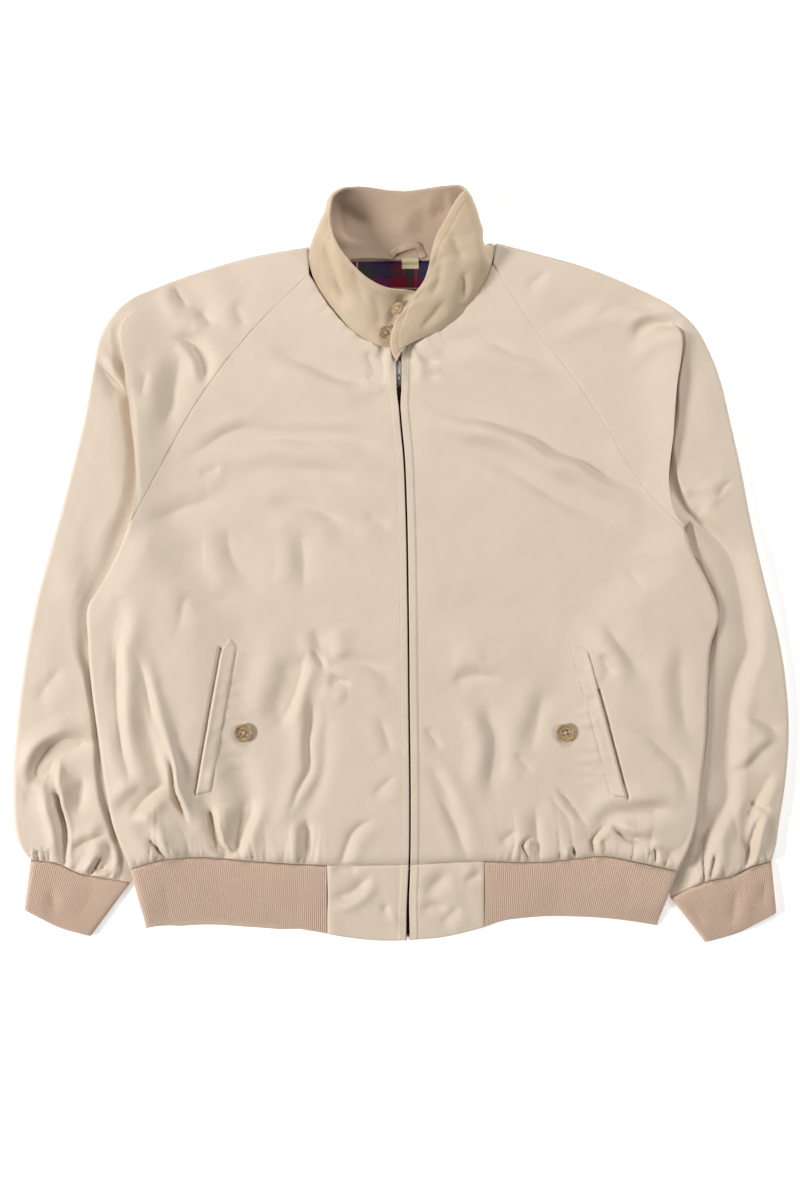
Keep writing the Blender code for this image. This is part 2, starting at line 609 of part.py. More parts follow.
def sleeve_row(side, s, share=None):
    """The top of a sleeve front along one section."""
    count = len(SLEEVE[side]) - 1
    inner, outer, fold, step = sleeve_section(side, s)
    if share is None:
        share = np.array([fold * c for c in CAP_SHARES] + [fold + (1 - fold) * c for c in ARM_SHARES])
    x = inner[0] + (outer[0] - inner[0]) * share
    y = inner[1] + (outer[1] - inner[1]) * share + cuff_bow(side, share) * max(s - count + 1, 0)
    width = math.hypot(*(outer - inner))
    low = UNDER + PLY_GAP + 0.7
    edge = quarter_round((1 - share) * width / 11)
    beyond = (share - fold) * width
    shoulder = low + (body_top(x, y) - low) * edge
    if s > ARM_SECTIONS - 1:
        free = ease((beyond - 5) / 14)
        drop = 1.0
    else:
        free = ease((beyond + 3) / 16)
        drop = step * ease(beyond / 3.6)
    arm = ARM_REST + (ARM_PUFF + folds_height(ARM_FOLDS, x, y)) * free
    hem = 1 - 0.6 * ease((s - count + 1) / 1.0)
    arm = low + (arm - low) * edge * hem
    if s > ARM_SECTIONS - 1:
        arm = np.minimum(arm, low + (ARM_REST - low) * quarter_round(share * width / 6) + 30 * share)
    z = shoulder + (arm - shoulder) * drop
    return np.column_stack([x, y, z])


def cuff_bow(side, share):
    return np.interp(share, [row[0] for row in CUFF_SEAM[side]], [row[1] for row in CUFF_SEAM[side]])


def cuff_end_shares(side):
    """Shares of a sleeve's last section, with each corner of the cuff seam among them."""
    fold = SLEEVE[side][-1][4]
    plain = [fold * c for c in CAP_SHARES[::3]] + [fold + (1 - fold) * c for c in ARM_SHARES]
    return np.unique(np.round(plain + [row[0] for row in CUFF_SEAM[side]], 4))


def build_sleeve(side, finish):
    last = len(SLEEVE[side]) - 1
    cap = np.arange(0, RAGLAN_STEPS + 1) * (ARM_SECTIONS - 1) / RAGLAN_STEPS
    sections = np.concatenate([cap, np.linspace(ARM_SECTIONS, last - 1.2, 12)])
    shares = np.linspace(0, 1, len(CAP_SHARES) + len(ARM_SHARES))
    top = np.array([sleeve_row(side, s) for s in sections])
    under = lowered(top, SHELL * 0.9, slant=0.35)
    under[..., 2] = np.maximum(under[..., 2], UNDER + PLY_GAP)
    outer, inner = sheet_of(top, shares), sheet_of(under, shares)
    ends = cuff_end_shares(side)
    waves = np.unique(np.concatenate([ends, np.linspace(0, 1, 2 * CUFF_GATHERS + 1)]))
    for s in (last - 0.6, last - 0.2, last):
        row = sleeve_row(side, s, waves)
        fold = SLEEVE[side][-1][4]
        sign = np.where(np.arange(len(waves)) % 2, 1.0, -1.0) * ease((waves - fold) / 0.15) * ease((1 - waves) / 0.1)
        row[:, 2] += CUFF_GATHER_RISE * sign
        outer.append((waves, row))
        plain = sleeve_row(side, s, ends)
        plain[:, 2] = UNDER + PLY_GAP
        inner.append((ends, plain))
    wall(f"sleeve_front_{side}", outer, inner, finish)
    # the back half lies on the table under it, out to the same outline
    top, low = [], []
    seam_sections = (1 - BACK_RAGLAN[::-1]) * (ARM_SECTIONS - 1)
    for s in np.concatenate([seam_sections, BACK_ARM_SECTIONS]):
        inner_end, outer_end, _, _ = sleeve_section(side, s)
        if s < ARM_SECTIONS - 1:
            inner_end = at_share(BACK_RAGLANS[side], 1 - s / (ARM_SECTIONS - 1))
            inner_end[0] += OUTWARD[side] * SEAM_GAP
        share = ends if s == last else np.linspace(0, 1, 5)
        xy = inner_end + (outer_end - inner_end) * share[:, None]
        xy[:, 1] += cuff_bow(side, share) * max(s - last + 1, 0)
        top.append((share, np.column_stack([xy, np.full(len(share), UNDER)])))
        low.append((share, np.column_stack([xy, np.zeros(len(share))])))
    wall(f"sleeve_back_{side}", top, low, finish)


# Ribs

def ribbed(count):
    """Shares of a knitted strip's length at the top and the foot of each rib, and what each rises by."""
    return np.linspace(0, 1, 2 * count + 1), RIB_RISE * (np.arange(2 * count + 1) % 2)


def some_of(shares, count):
    """An even pick of shares, both ends among them."""
    return np.unique(shares[np.round(np.linspace(0, len(shares) - 1, count)).astype(int)])


def band_points(side, shares):
    """The top of a front strip of the waistband, ribs left out."""
    out = OUTWARD[side]
    start = TAB_END[side] + out * SEAM_GAP
    top_end, low_end = SIDE_EDGE[side][0][0], HEM_EDGE[0 if side == "right" else -1][0]
    grid = []
    for v in (0, 0.45, 1.0):
        end = top_end + (low_end - top_end) * v
        x = start + (end - start) * shares
        y = (y_at(HEM, x) - SEAM_GAP) * (1 - v) + y_at(EDGE, x) * v
        rolled = quarter_round((1 - shares) * abs(end - start) / 8)
        z = UNDER + PLY_GAP + 0.4 + RIB_KNIT * (0.45 + 0.55 * rolled) + 1.5 * rolled * math.sin(math.pi * v)
        z = z + 0.5 * np.sin(shares * 9 + v) * rolled + back_low(x, y)
        grid.append(np.column_stack([x, y, z]))
    return np.array(grid)


def build_band(side, finish):
    ribs = round(abs(SIDE_EDGE[side][0][0] - TAB_END[side]) / RIB_PITCH)
    fine, rise = ribbed(ribs)
    outer = band_points(side, fine)
    outer[..., 2] += rise * quarter_round((1 - fine) * 25)
    plain = np.union1d(some_of(fine, 11), fine[[-19, -11, -5]])
    inner = band_points(side, plain)
    floor = UNDER + PLY_GAP + 0.3 + back_low(inner[..., 0], inner[..., 1])
    inner[..., 2] = np.maximum(inner[..., 2] - RIB_KNIT, floor)
    return wall(f"waistband_rib_{side}", sheet_of(outer, fine), sheet_of(inner, plain), finish)


def build_back_band(finish):
    """The waistband's back strip. Its edge peeks out below the front's at the right."""
    top, low = [], []
    shares = np.array([0, .02, .045, .07, .1, .16, .24, .33, .42, .51, .6, .69, .78, .86, .91, .94, .965, .985, 1])
    for v in (0, 0.45, 1.0):
        x0, x1 = SIDE_EDGE["right"][0][0] + 14 * v, SIDE_EDGE["left"][0][0] - 20 * v
        x = x0 + (x1 - x0) * shares
        start = np.interp(x, [SIDE_EDGE["right"][0][0], SIDE_EDGE["left"][0][0]],
                          [SIDE_EDGE["right"][0][1], SIDE_EDGE["left"][0][1]]) - 2 * SEAM_GAP
        edge = y_at(EDGE, x) + np.interp(x, [-256, -220, -120, -80, 100, 240, 260], [1, -5.5, -4, 2, 2, 2, 1])
        y = start * (1 - v) + edge * v
        z = back_low(x, y)
        low.append(np.column_stack([x, y, z]))
        top.append(np.column_stack([x, y, z + UNDER]))
    wall("waistband_rib_back", sheet_of(np.array(top), shares), sheet_of(np.array(low), shares), finish)


def build_tab(side, finish):
    """The cloth end of the waistband beside the zip."""
    out = OUTWARD[side]
    shares = np.array([0, .085, .1, .3, .52, .76, 1.0])
    grid = []
    for v in (0, 0.1, 0.3, 0.6, 0.85, 1.0):
        y0 = (ZIP_BOTTOM - SEAM_GAP) * (1 - v) + (HEM_BOTTOM + 1) * v
        x_zip = x_at(ZIP, y0) + out * slit(y0)
        x_end = TAB_END[side] - out * SEAM_GAP
        x = x_zip + (x_end - x_zip) * shares
        y = (y_at(HEM, x) - SEAM_GAP) * (1 - v) + y_at(EDGE, x) * v
        swell = np.sin(shares * 5.5 + v * 3) * np.sin(math.pi * v)
        z = ZIP_CLEAR + SHELL + 0.4 + 0.8 * swell * (shares > 0.2) + PLACKET * (shares < 0.09)
        grid.append(np.column_stack([x, y, z]))
    grid = np.array(grid)
    low = grid - np.array([0, 0, SHELL])
    return wall(f"waistband_tab_{side}", sheet_of(grid, shares), sheet_of(low, shares), finish)


def build_cuff(side, finish):
    """A ribbed cuff, a flattened tube from sleeve to hand, open at both ends."""
    inner_end, outer_end, _, _ = sleeve_section(side, len(SLEEVE[side]) - 1)
    hand_in, hand_out = (np.array(p, float) for p in HAND[side])
    ribs = round(math.hypot(*(outer_end - inner_end)) / RIB_PITCH)

    def layer(shares, v, height, lip=0.0):
        a = inner_end + (outer_end - inner_end) * shares[:, None]
        a[:, 1] += cuff_bow(side, shares) - 2 * SEAM_GAP
        b = hand_in + (hand_out - hand_in) * shares[:, None]
        b[:, 1] -= (3.0 + lip) * np.sin(math.pi * shares)
        return np.column_stack([a * (1 - v) + b * v, np.broadcast_to(height, shares.shape)])

    fine, rise = ribbed(ribs)
    plain = some_of(fine, 11)
    under = np.linspace(1, 0, 9)
    under_keys = 0.5 + 0.5 * np.linspace(0.1, 0.9, 9)
    outer, inner = [], []
    for v, puff in ((0, 0.0), (0.45, 2.2), (1.0, 1.0)):
        round_over = quarter_round(np.minimum(fine, 1 - fine) * 15)
        height = CUFF_HEIGHT * (0.5 + 0.5 * round_over) + puff * round_over
        top = layer(fine, v, height + rise * round_over)
        low = layer(under, v, 0.0, lip=2.5)
        outer.append((np.concatenate([fine * 0.5, under_keys]), np.vstack([top, low])))
        inside = 0.035 + 0.93 * plain
        round_in = quarter_round(np.minimum(plain, 1 - plain) * 15)
        roof = layer(inside, v, 2.0 + (CUFF_HEIGHT + puff - CUFF_WALL - 2.0) * (0.35 + 0.65 * round_in))
        floor = layer(0.035 + 0.93 * under, v, CUFF_WALL * 0.8, lip=2.5)
        inner.append((np.concatenate([plain * 0.5, under_keys]), np.vstack([roof, floor])))
    return wall(f"cuff_{side}", outer, inner, finish, ring=True)


# Collar

COLLAR_COLUMNS = 36
COLLAR_ROWS = np.array([0, 0.2, 0.45, 0.75, 1.0])


def collar_grid(u, v):
    """The collar's middle surface at shares round it and up it, and its normals towards the neck."""
    line = smooth_line(COLLAR, steps=10)
    place = u * (len(line) - 1)
    row = np.stack([np.interp(place, np.arange(len(line)), column) for column in line.T], axis=-1)
    seam, middle, top = row[:, :3], row[:, 3:6], row[:, 6:9]
    v = v[:, None, None]
    grid = seam * (1 - v) * (1 - 2 * v) + middle * 4 * v * (1 - v) + top * v * (2 * v - 1)
    normal = np.cross(np.gradient(grid, axis=1), np.gradient(grid, axis=0))
    normal /= np.linalg.norm(normal, axis=2, keepdims=True)
    return grid, normal


def build_collar(finish):
    u = np.linspace(0, 1, COLLAR_COLUMNS + 1)
    grid, normal = collar_grid(u, COLLAR_ROWS)
    plies = []
    for name, near, far in (("collar_outer", -PLY_GAP / 2, -PLY_GAP / 2 - COLLAR_OUTER),
                            ("collar_inner", PLY_GAP / 2, PLY_GAP / 2 + COLLAR_INNER)):
        plies.append(wall(name, sheet_of(grid + normal * far, u), sheet_of(grid + normal * near, u), finish))
    return plies


# Things on the cloth

def surface_height(objects, x, y, reach=0.0):
    """The height of the objects' top at points, in millimetres: the highest within a reach of each."""
    graph = bpy.context.evaluated_depsgraph_get()
    trees = [BVHTree.FromObject(obj, graph) for obj in objects]
    around = [(0, 0)] + [(reach * dx, reach * dy) for dx in (-1, 0, 1) for dy in (-1, 0, 1)] * (reach > 0)
    heights = []
    for px, py in zip(np.ravel(x), np.ravel(y)):
        hits = [tree.ray_cast(Vector(((px + dx) * MM, (py + dy) * MM, 0.2)), Vector((0, 0, -1)))[0]
                for tree in trees for dx, dy in around]
        heights.append(max((hit.z / MM for hit in hits if hit), default=0.0))
    return np.array(heights).reshape(np.shape(x))


def build_welt(side, front, finish):
    """The folded strip along a pocket opening, made from the front's own points."""
    (x0, y0), (x1, y1), _ = POCKET[side]
    across, along = np.linspace(0, 1, 4), np.linspace(0, 1, 11)
    a, w = np.meshgrid(along, across, indexing="ij")
    x = x0 + (x1 - x0) * a - OUTWARD[side] * WELT_WIDTH * w
    y = y0 + (y1 - y0) * a + 2.5 * w
    low = np.stack([x, y, surface_height([front], x, y, reach=4.0) + PLY_GAP], axis=2)
    top = low + np.array([0, 0, WELT_THICK])
    return wall(f"pocket_welt_{side}", sheet_of(top, across), sheet_of(low, across), finish)


def build_button(name, place, diameter, tilt, finish):
    """A four-hole button: a turned disc with a raised rim, drilled through."""
    radius, height = diameter / 2, diameter * 0.15
    profile = [(0, 0), (radius * 0.72, 0), (radius, height * 0.45), (radius * 0.88, height),
               (radius * 0.64, height * 0.6), (0, height * 0.6)]
    bm = bmesh.new()
    line = [bm.verts.new((r * MM, 0, h * MM)) for r, h in profile]
    edges = [bm.edges.new(pair) for pair in zip(line, line[1:])]
    bmesh.ops.spin(bm, geom=line + edges, cent=(0, 0, 0), axis=(0, 0, 1), angle=2 * math.pi, steps=12, use_merge=True)
    bmesh.ops.remove_doubles(bm, verts=bm.verts, dist=1e-6)
    bmesh.ops.recalc_face_normals(bm, faces=bm.faces)
    button = add_object(name, bm, finish)
    for k in range(4):
        angle = math.pi / 4 + k * math.pi / 2
        bm = bmesh.new()
        bmesh.ops.create_cone(bm, cap_ends=True, segments=5, radius1=radius * 0.12 * MM,
                              radius2=radius * 0.12 * MM, depth=4 * height * MM)
        drill = add_object(f"{name}_drill_{k}", bm, finish)
        drill.location = (math.cos(angle) * radius * 0.27 * MM, math.sin(angle) * radius * 0.27 * MM, 0)
        drill.parent = button
        drill.hide_render = True
        drill.display_type = "WIRE"
        cut = button.modifiers.new(f"hole_{k}", "BOOLEAN")
        cut.operation, cut.object = "DIFFERENCE", drill
    button.location = [value * MM for value in place]
    button.rotation_euler = tilt
    return button


def button_on(name, x, y, diameter, objects, finish):
    """A button lying on the cloth at a point, tilted as the cloth slopes."""
    radius = diameter * 0.36
    east, west, north, south, middle = surface_height(
        objects, np.array([x + radius, x - radius, x, x, x]), np.array([y, y, y + radius, y - radius, y]))
    slope_x, slope_y = (east - west) / (2 * radius), (north - south) / (2 * radius)
    ring = np.arange(12) * math.pi / 6
    px, py = np.outer([0.4, 0.75, 1.0], np.cos(ring)) * radius, np.outer([0.4, 0.75, 1.0], np.sin(ring)) * radius
    above = surface_height(objects, x + px, y + py) - px * slope_x - py * slope_y
    z = max(float(above.max()), middle) + PLY_GAP
    tilt = (math.atan(slope_y), -math.atan(slope_x), 0)
    return build_button(name, (x, y, z), diameter, tilt, finish)


def box(bm, low, high):
    """A box between two corners, in millimetres."""
    made = bmesh.ops.create_cube(bm, size=1.0)["verts"]
    bmesh.ops.scale(bm, vec=[(b - a) * MM for a, b in zip(low, high)], verts=made)
    bmesh.ops.translate(bm, vec=Vector([(a + b) / 2 * MM for a, b in zip(low, high)]), verts=made)


def build_zip(tape_finish, metal):
    """Two tapes, the closed chain between them, the slider at its top and its pull tab."""
    bends = [y for _, y in ZIP_LINE[1:-3]]
    rows = np.array([TAPE_BOTTOM, *bends, SLIDER_Y - SLIDER_LENGTH / 2 - PLY_GAP, TAPE_TOP])
    middle = x_at(ZIP, rows)
    low, high = TAPE_LOW, TAPE_LOW + TAPE_THICK
    for side, out in OUTWARD.items():
        shares = np.array([0, 1.0])
        grid = np.array([[(m + out * CHAIN_WIDTH * 0.62, y, high), (m + out * TAPE_WIDTH, y, high)]
                         for m, y in zip(middle, rows)])
        under = grid - np.array([0, 0, TAPE_THICK])
        wall(f"zip_tape_{side}", sheet_of(grid, shares), sheet_of(under, shares), tape_finish)
    rows, middle = rows[:-1], middle[:-1]
    shares = np.array([0, .25, .75, 1.0])
    half = CHAIN_WIDTH / 2
    grid = np.array([[(m - half, y, high), (m - half * 0.7, y, high + 1), (m + half * 0.7, y, high + 1),
                      (m + half, y, high)] for m, y in zip(middle, rows)])
    under = grid.copy()
    under[..., 2] = low - 0.1
    wall("zip_chain", sheet_of(grid, shares), sheet_of(under, shares), metal)
    build_slider(metal)


def build_slider(metal):
    """The slider's body with an arch along it, and the pull tab, whose bar turns under the arch."""
    x = float(x_at(ZIP, SLIDER_Y))
    y, top = SLIDER_Y, SLIDER_TOP
    wide, narrow, long = SLIDER_WIDTH / 2, SLIDER_WIDTH / 2 - 0.7, SLIDER_LENGTH / 2
    bm = bmesh.new()
    box(bm, (x - wide, y - long, top - SLIDER_HEIGHT), (x + wide, y + long, top))
    for vertex in bm.verts:
        if vertex.co.y < y * MM:
            vertex.co.x = (x + math.copysign(narrow, vertex.co.x / MM - x)) * MM
    slider = add_object("zip_slider", bm, metal)
    foot = ARCH_SPAN / 2
    posts = [((x - ARCH_WIDTH / 2, y + HINGE_Y + sign * foot - 0.45, top - 0.5),
              (x + ARCH_WIDTH / 2, y + HINGE_Y + sign * foot + 0.45, top + ARCH_RISE)) for sign in (-1, 1)]
    beam = ((x - ARCH_WIDTH / 2, y + HINGE_Y - foot - 0.45, top + ARCH_RISE - 0.8),
            (x + ARCH_WIDTH / 2, y + HINGE_Y + foot + 0.45, top + ARCH_RISE))
    for k, corners in enumerate(posts + [beam]):
        bm = bmesh.new()
        box(bm, *corners)
        piece = add_object(f"zip_slider_arch_{k}", bm, metal)
        piece.hide_render = True
        piece.display_type = "WIRE"
        join = slider.modifiers.new(f"join_{k}", "BOOLEAN")
        join.operation, join.object = "UNION", piece
    # the pull tab, with its origin on the hinge
    hinge = bpy.data.objects.new("zip_pull_hinge", None)
    bpy.context.scene.collection.objects.link(hinge)
    hinge.location = (x * MM, (y + HINGE_Y) * MM, (top + HINGE_RISE) * MM)
    half, thick = TAB_WIDTH / 2, TAB_THICK / 2
    window, rail = ARCH_SPAN / 2 + 1.0, ARCH_WIDTH / 2 + 0.45
    bm = bmesh.new()
    box(bm, (-half, -thick, -thick), (half, TAB_LENGTH, thick))
    pull = add_object("zip_pull", bm, metal)
    pull.parent = hinge
    bm = bmesh.new()
    box(bm, (-rail, thick, -2), (rail, thick + window, 2))
    hole = add_object("zip_pull_window", bm, metal)
    hole.parent = hinge
    hole.hide_render = True
    hole.display_type = "WIRE"
    cut = pull.modifiers.new("window", "BOOLEAN")
    cut.operation, cut.object = "DIFFERENCE", hole


def build_loop(objects, finish):
    """The hanger loop inside the neck, a flat tape bent into an arch."""
    route = smooth_line(LOOP_ROUTE, steps=3)
    along = np.gradient(route, axis=0)
    side = np.column_stack([-along[:, 1], along[:, 0]]) / np.linalg.norm(along, axis=1, keepdims=True)
    across = np.array([0, 1.0])
    rise = LOOP_RISE * np.sin(math.pi * np.linspace(0, 1, len(route)))
    grid = []
    for k, point in enumerate(route):
        ends = [point - side[k] * LOOP_WIDTH / 2, point + side[k] * LOOP_WIDTH / 2]
        x, y = np.array(ends).T
        z = surface_height(objects, x, y, reach=2.0).max() + PLY_GAP + rise[k]
        grid.append([(px, py, z) for px, py in ends])
    low = np.array(grid)
    return wall("hanger_loop", sheet_of(low + np.array([0, 0, LOOP_THICK]), across), sheet_of(low, across), finish)


def build_label(objects, finish):
    """A blank label in the neck, under the loop."""
    x0, x1, y0, y1 = LABEL_PLACE
    shares = np.linspace(0, 1, 3)
    x, y = np.meshgrid(x0 + (x1 - x0) * shares, y0 + (y1 - y0) * shares)
    low = np.stack([x, y, surface_height(objects, x, y, reach=2.0) + PLY_GAP], axis=2)
    return wall("size_label", sheet_of(low + np.array([0, 0, LABEL_THICK]), shares), sheet_of(low, shares), finish)


def main():
    for obj in list(bpy.data.objects):
        bpy.data.objects.remove(obj)
    cloth = finish_of("cotton_twill", (0.71, 0.60, 0.45), 0.62)
    knit = finish_of("rib_knit", (0.55, 0.42, 0.31), 0.85)
    tartan = finish_of("tartan_lining", (0.22, 0.03, 0.05), 0.8)
    horn = finish_of("button_horn", (0.34, 0.24, 0.13), 0.4)
    tape = finish_of("zip_tape", (0.10, 0.07, 0.04), 0.8)
    metal = finish_of("zip_metal", (0.62, 0.60, 0.57), 0.3, metallic=1.0)
    label = finish_of("label_satin", (0.80, 0.76, 0.66), 0.6)
    fronts = {}
    for side in ("right", "left"):
        fronts[side] = build_front(side, cloth)
        build_sleeve(side, cloth)
        build_band(side, knit)
        build_tab(side, cloth)
        build_cuff(side, knit)
        build_welt(side, fronts[side], cloth)
        x, y = POCKET[side][2]
        button_on(f"pocket_button_{side}", x, y, POCKET_BUTTON, [fronts[side]], horn)
    build_back(cloth)
    lining = build_lining(tartan)
    build_back_band(knit)
    outer, inner = build_collar(cloth)
    for place, (x, y) in COLLAR_BUTTONS.items():
        button_on(f"collar_button_{place}", x, y, COLLAR_BUTTON, [outer], horn)
    build_zip(tape, metal)
    build_loop([lining, inner], cloth)
    build_label([lining], label)


def finish_of(name, colour, roughness, metallic=0.0):
    material = bpy.data.materials.new(name)
    material.use_nodes = True
    shader = material.node_tree.nodes["Principled BSDF"]
    shader.inputs["Base Color"].default_value = (*colour, 1)
    shader.inputs["Roughness"].default_value = roughness
    shader.inputs["Metallic"].default_value = metallic
    return material


main()
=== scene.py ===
"""A harrington jacket laid flat, front up: cloth, ribs, trims, lining, sewing and studio.

Lengths in the tables are in millimetres, in the frame's own axes: x across the jacket with +x to
the wearer's left, y from hem to collar, z up from the table. MM turns them into metres.
"""

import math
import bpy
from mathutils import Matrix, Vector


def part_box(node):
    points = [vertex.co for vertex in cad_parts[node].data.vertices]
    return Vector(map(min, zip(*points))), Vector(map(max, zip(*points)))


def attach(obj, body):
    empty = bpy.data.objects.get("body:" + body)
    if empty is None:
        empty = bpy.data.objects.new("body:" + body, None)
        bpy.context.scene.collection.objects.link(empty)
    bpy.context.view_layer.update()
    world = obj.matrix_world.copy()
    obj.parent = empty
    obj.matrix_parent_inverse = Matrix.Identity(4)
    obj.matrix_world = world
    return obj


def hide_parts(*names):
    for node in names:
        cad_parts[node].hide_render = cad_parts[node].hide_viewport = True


bl_info = {
    "name": "Harrington jacket",
    "version": (1, 0, 0),
    "blender": (4, 5, 0),
    "location": "View3D > Sidebar > Jacket",
    "description": "Dresses the framed jacket in cloth, knit, trims and light",
    "category": "Object",
}

import bmesh
import bpy
import numpy as np
from bpy.props import FloatProperty, FloatVectorProperty, PointerProperty
from mathutils import Matrix, Vector
from mathutils.bvhtree import BVHTree

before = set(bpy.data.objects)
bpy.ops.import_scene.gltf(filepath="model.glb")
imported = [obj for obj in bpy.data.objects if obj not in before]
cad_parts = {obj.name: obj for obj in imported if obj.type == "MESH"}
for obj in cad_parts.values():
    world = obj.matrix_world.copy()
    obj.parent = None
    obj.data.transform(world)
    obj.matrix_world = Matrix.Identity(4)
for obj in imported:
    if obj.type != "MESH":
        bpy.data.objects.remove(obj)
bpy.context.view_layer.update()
bpy.ops.object.select_all(action="DESELECT")

MM = 0.001

# The jacket's build, as in its solids
SHELL, UNDER = 2.2, 1.8  # front walls, and the cloth on the table
PLY_GAP, SEAM_GAP = 0.3, 0.35
RIB_PITCH, RIB_KNIT = 2.1, 2.4  # from rib to rib, and the knit's thickness
RIB_DEPTH, TAB_DEPTH, CUFF_DEPTH = 60, 70, 56
SLEEVE_STACK = 5.2  # what the body rises by where it lies over a sleeve
PUFF, PUFF_OVER_SLEEVE = 4.4, 3.4
BLOUSE, BLOUSE_Y, BLOUSE_WIDTH = 1.6, -262.0, 26.0  # the fullness that hangs over the waistband
HEM_FALL, ROLL = 13.0, 30.0  # how far from hem and side edge the cloth reaches its full height
SOFT_ROLL = {"right": 0.4, "left": 0.1}  # how much of the side edge's height comes slowly
ZIP_CLEAR, TAPE_WIDTH = 4.3, 13.0  # height that the fronts keep over the zip's tapes
ZIP_BOTTOM, HEM_BOTTOM = -302.0, -378.0
ARM_REST, ARM_LEAN = 2.2, 8.0  # an arm's least height, and how far it climbs the body's edge
ARM_SECTIONS, SECTION_STEPS = 10, 8  # sections from neck to underarm, and points between two of them
ARM_PUFF = {"right": 5.0, "left": 8.5}
CUFF_HEIGHT = 5.2
FLAT_FLOOR = 0.15  # the lowest that a cloth's hidden side comes
FOLD_RISE, CREASE_RISE = 1.3, 2.6  # how much deeper the cloth folds than its tables say
OUTWARD = {"right": -1, "left": 1}

SIDE_EDGE = {  # body's side edges, hem to underarm: (x, y)
    "right": [(-269, -306), (-286, -263), (-294, -223), (-301, -173), (-307, -128),
              (-311, -78), (-310, -42), (-301, -28), (-283, 6), (-267, 41)],
    "left": [(277, -308), (290, -280), (296, -258), (300, -223), (305, -178),
             (307, -128), (310, -83), (318, -56), (308, -23), (293, 6), (282, 34)],
}
RAGLAN = {  # seam from underarm to neck: (x, y)
    "right": [(-267, 41), (-240, 92), (-213, 143), (-174, 200), (-133, 247), (-91, 287)],
    "left": [(282, 34), (267, 49), (241, 79), (208, 132), (165, 196), (133, 236), (93, 297)],
}
NECK = {  # neck seam from raglan seam to zip: (x, y)
    "right": [(-90, 287.4), (-75.9, 265.8), (-57, 241.1), (-34.4, 225.2), (-13.7, 217.2), (-3, 213.6)],
    "left": [(93, 297), (77, 268), (52, 242), (27, 226), (14, 219), (4, 214)],
}
ZIP_LINE = [(8, -378), (8, -340), (9.5, -302), (10, -240), (9, -140), (8, -40), (6, 60), (4, 106),
            (0.8, 140), (-0.8, 162), (-1, 180), (-1, 214)]
ZIP_SLIT = [  # y, half the opening between the front edges
    (-378, 2.4), (-330, 1.6), (-290, 1.4), (156, 1.5), (172, 2.9), (192, 3.1), (214, 3.2)]
HEM_SEAM = [(-269, -306), (-240, -298), (-200, -295), (-160, -298), (-120, -301), (-73, -303),
            (9, -302), (85, -299), (140, -300), (180, -296), (200, -294), (240, -300), (277, -308)]
HEM_EDGE = [(-254, -366), (-228, -360), (-200, -358), (-150, -361), (-110, -365), (-73, -371),
            (-50, -375), (-15, -378), (9, -377), (45, -374), (70, -368), (85, -364), (100, -359),
            (130, -355), (170, -354), (210, -356), (240, -360), (257, -363)]
TAB_END = {"right": -73, "left": 85}  # x of a cloth tab's outer end
SLEEVE = {  # inner x, inner y, outer x, outer y, fold share, step down at the fold
    "right": [
        (-90, 287, -92.4, 315, 0.45, 0.0),
        (-115, 265, -145, 306, 0.50, 0.0),
        (-145, 234, -195, 292, 0.58, 0.0),
        (-174, 200, -240, 276, 0.68, 0.0),
        (-197, 167, -272, 261, 0.86, 0.0),
        (-213, 143, -291, 242, 0.85, 0.45),
        (-227, 119, -301, 222, 0.65, 1.0),
        (-240, 92, -307, 192, 0.44, 1.0),
        (-255, 64, -315, 147, 0.17, 1.0),
        (-267, 41, -325, 105, 0.01, 1.0),
        (-266, 20, -336, 62, 0.13, 1.0),
        (-262, 0, -350, 12, 0.28, 1.0),
        (-236, -30, -362, -32, 0.52, 1.0),
        (-216, -75, -372, -80, 0.60, 1.0),
        (-208, -120, -379, -125, 0.58, 1.0),
        (-212, -175, -385, -182, 0.50, 1.0),
        (-226, -228, -387, -232, 0.42, 1.0),
        (-244, -270, -384, -272, 0.28, 1.0),
        (-258, -300, -378, -288, 0.16, 1.0),
        (-270, -321, -370, -298, 0.10, 1.0),
    ],
    "left": [
        (93, 297, 97, 319, 0.45, 0.0),
        (118, 261, 135, 309, 0.50, 0.0),
        (146, 220, 185, 295, 0.58, 0.0),
        (172, 186, 230, 277, 0.70, 0.0),
        (195, 152, 273, 255, 0.88, 0.0),
        (212, 126, 297, 233, 0.83, 0.45),
        (226, 104, 311, 207, 0.62, 1.0),
        (241, 80, 321, 180, 0.43, 1.0),
        (262, 54, 331, 138, 0.15, 1.0),
        (282, 34, 341, 94, 0.01, 1.0),
        (280, 8, 350, 46, 0.17, 1.0),
        (278, -8, 359, 5, 0.30, 1.0),
        (252, -32, 368, -32, 0.55, 1.0),
        (230, -72, 379, -76, 0.58, 1.0),
        (222, -120, 386, -120, 0.53, 1.0),
        (228, -175, 389, -170, 0.49, 1.0),
        (242, -228, 385, -224, 0.40, 1.0),
        (256, -275, 379, -262, 0.30, 1.0),
        (266, -308, 376, -284, 0.20, 1.0),
        (271, -336, 372, -299, 0.13, 1.0),
    ],
}
ARM_RISE = {  # y, how far from the body's edge the arm starts to rise, and how wide the rise is
    "right": [(250, 1, 10), (200, 2, 22), (60, 2, 20), (20, 3, 22), (-60, 3, 20), (-95, 2, 12), (-130, 1, 9),
              (-200, 1, 8), (-265, 1, 8), (-330, 1, 8)],
    "left": [(240, 3, 4), (150, 3, 4), (92, 3, 9), (62, 9, 16), (42, 15, 20), (22, 26, 20), (-8, 30, 20),
             (-36, 23, 20), (-58, 25, 20), (-88, 33, 20), (-112, 28, 20), (-153, 20, 22), (-198, 20, 24),
             (-238, 30, 18), (-268, 14, 18), (-320, 2, 12)],
}
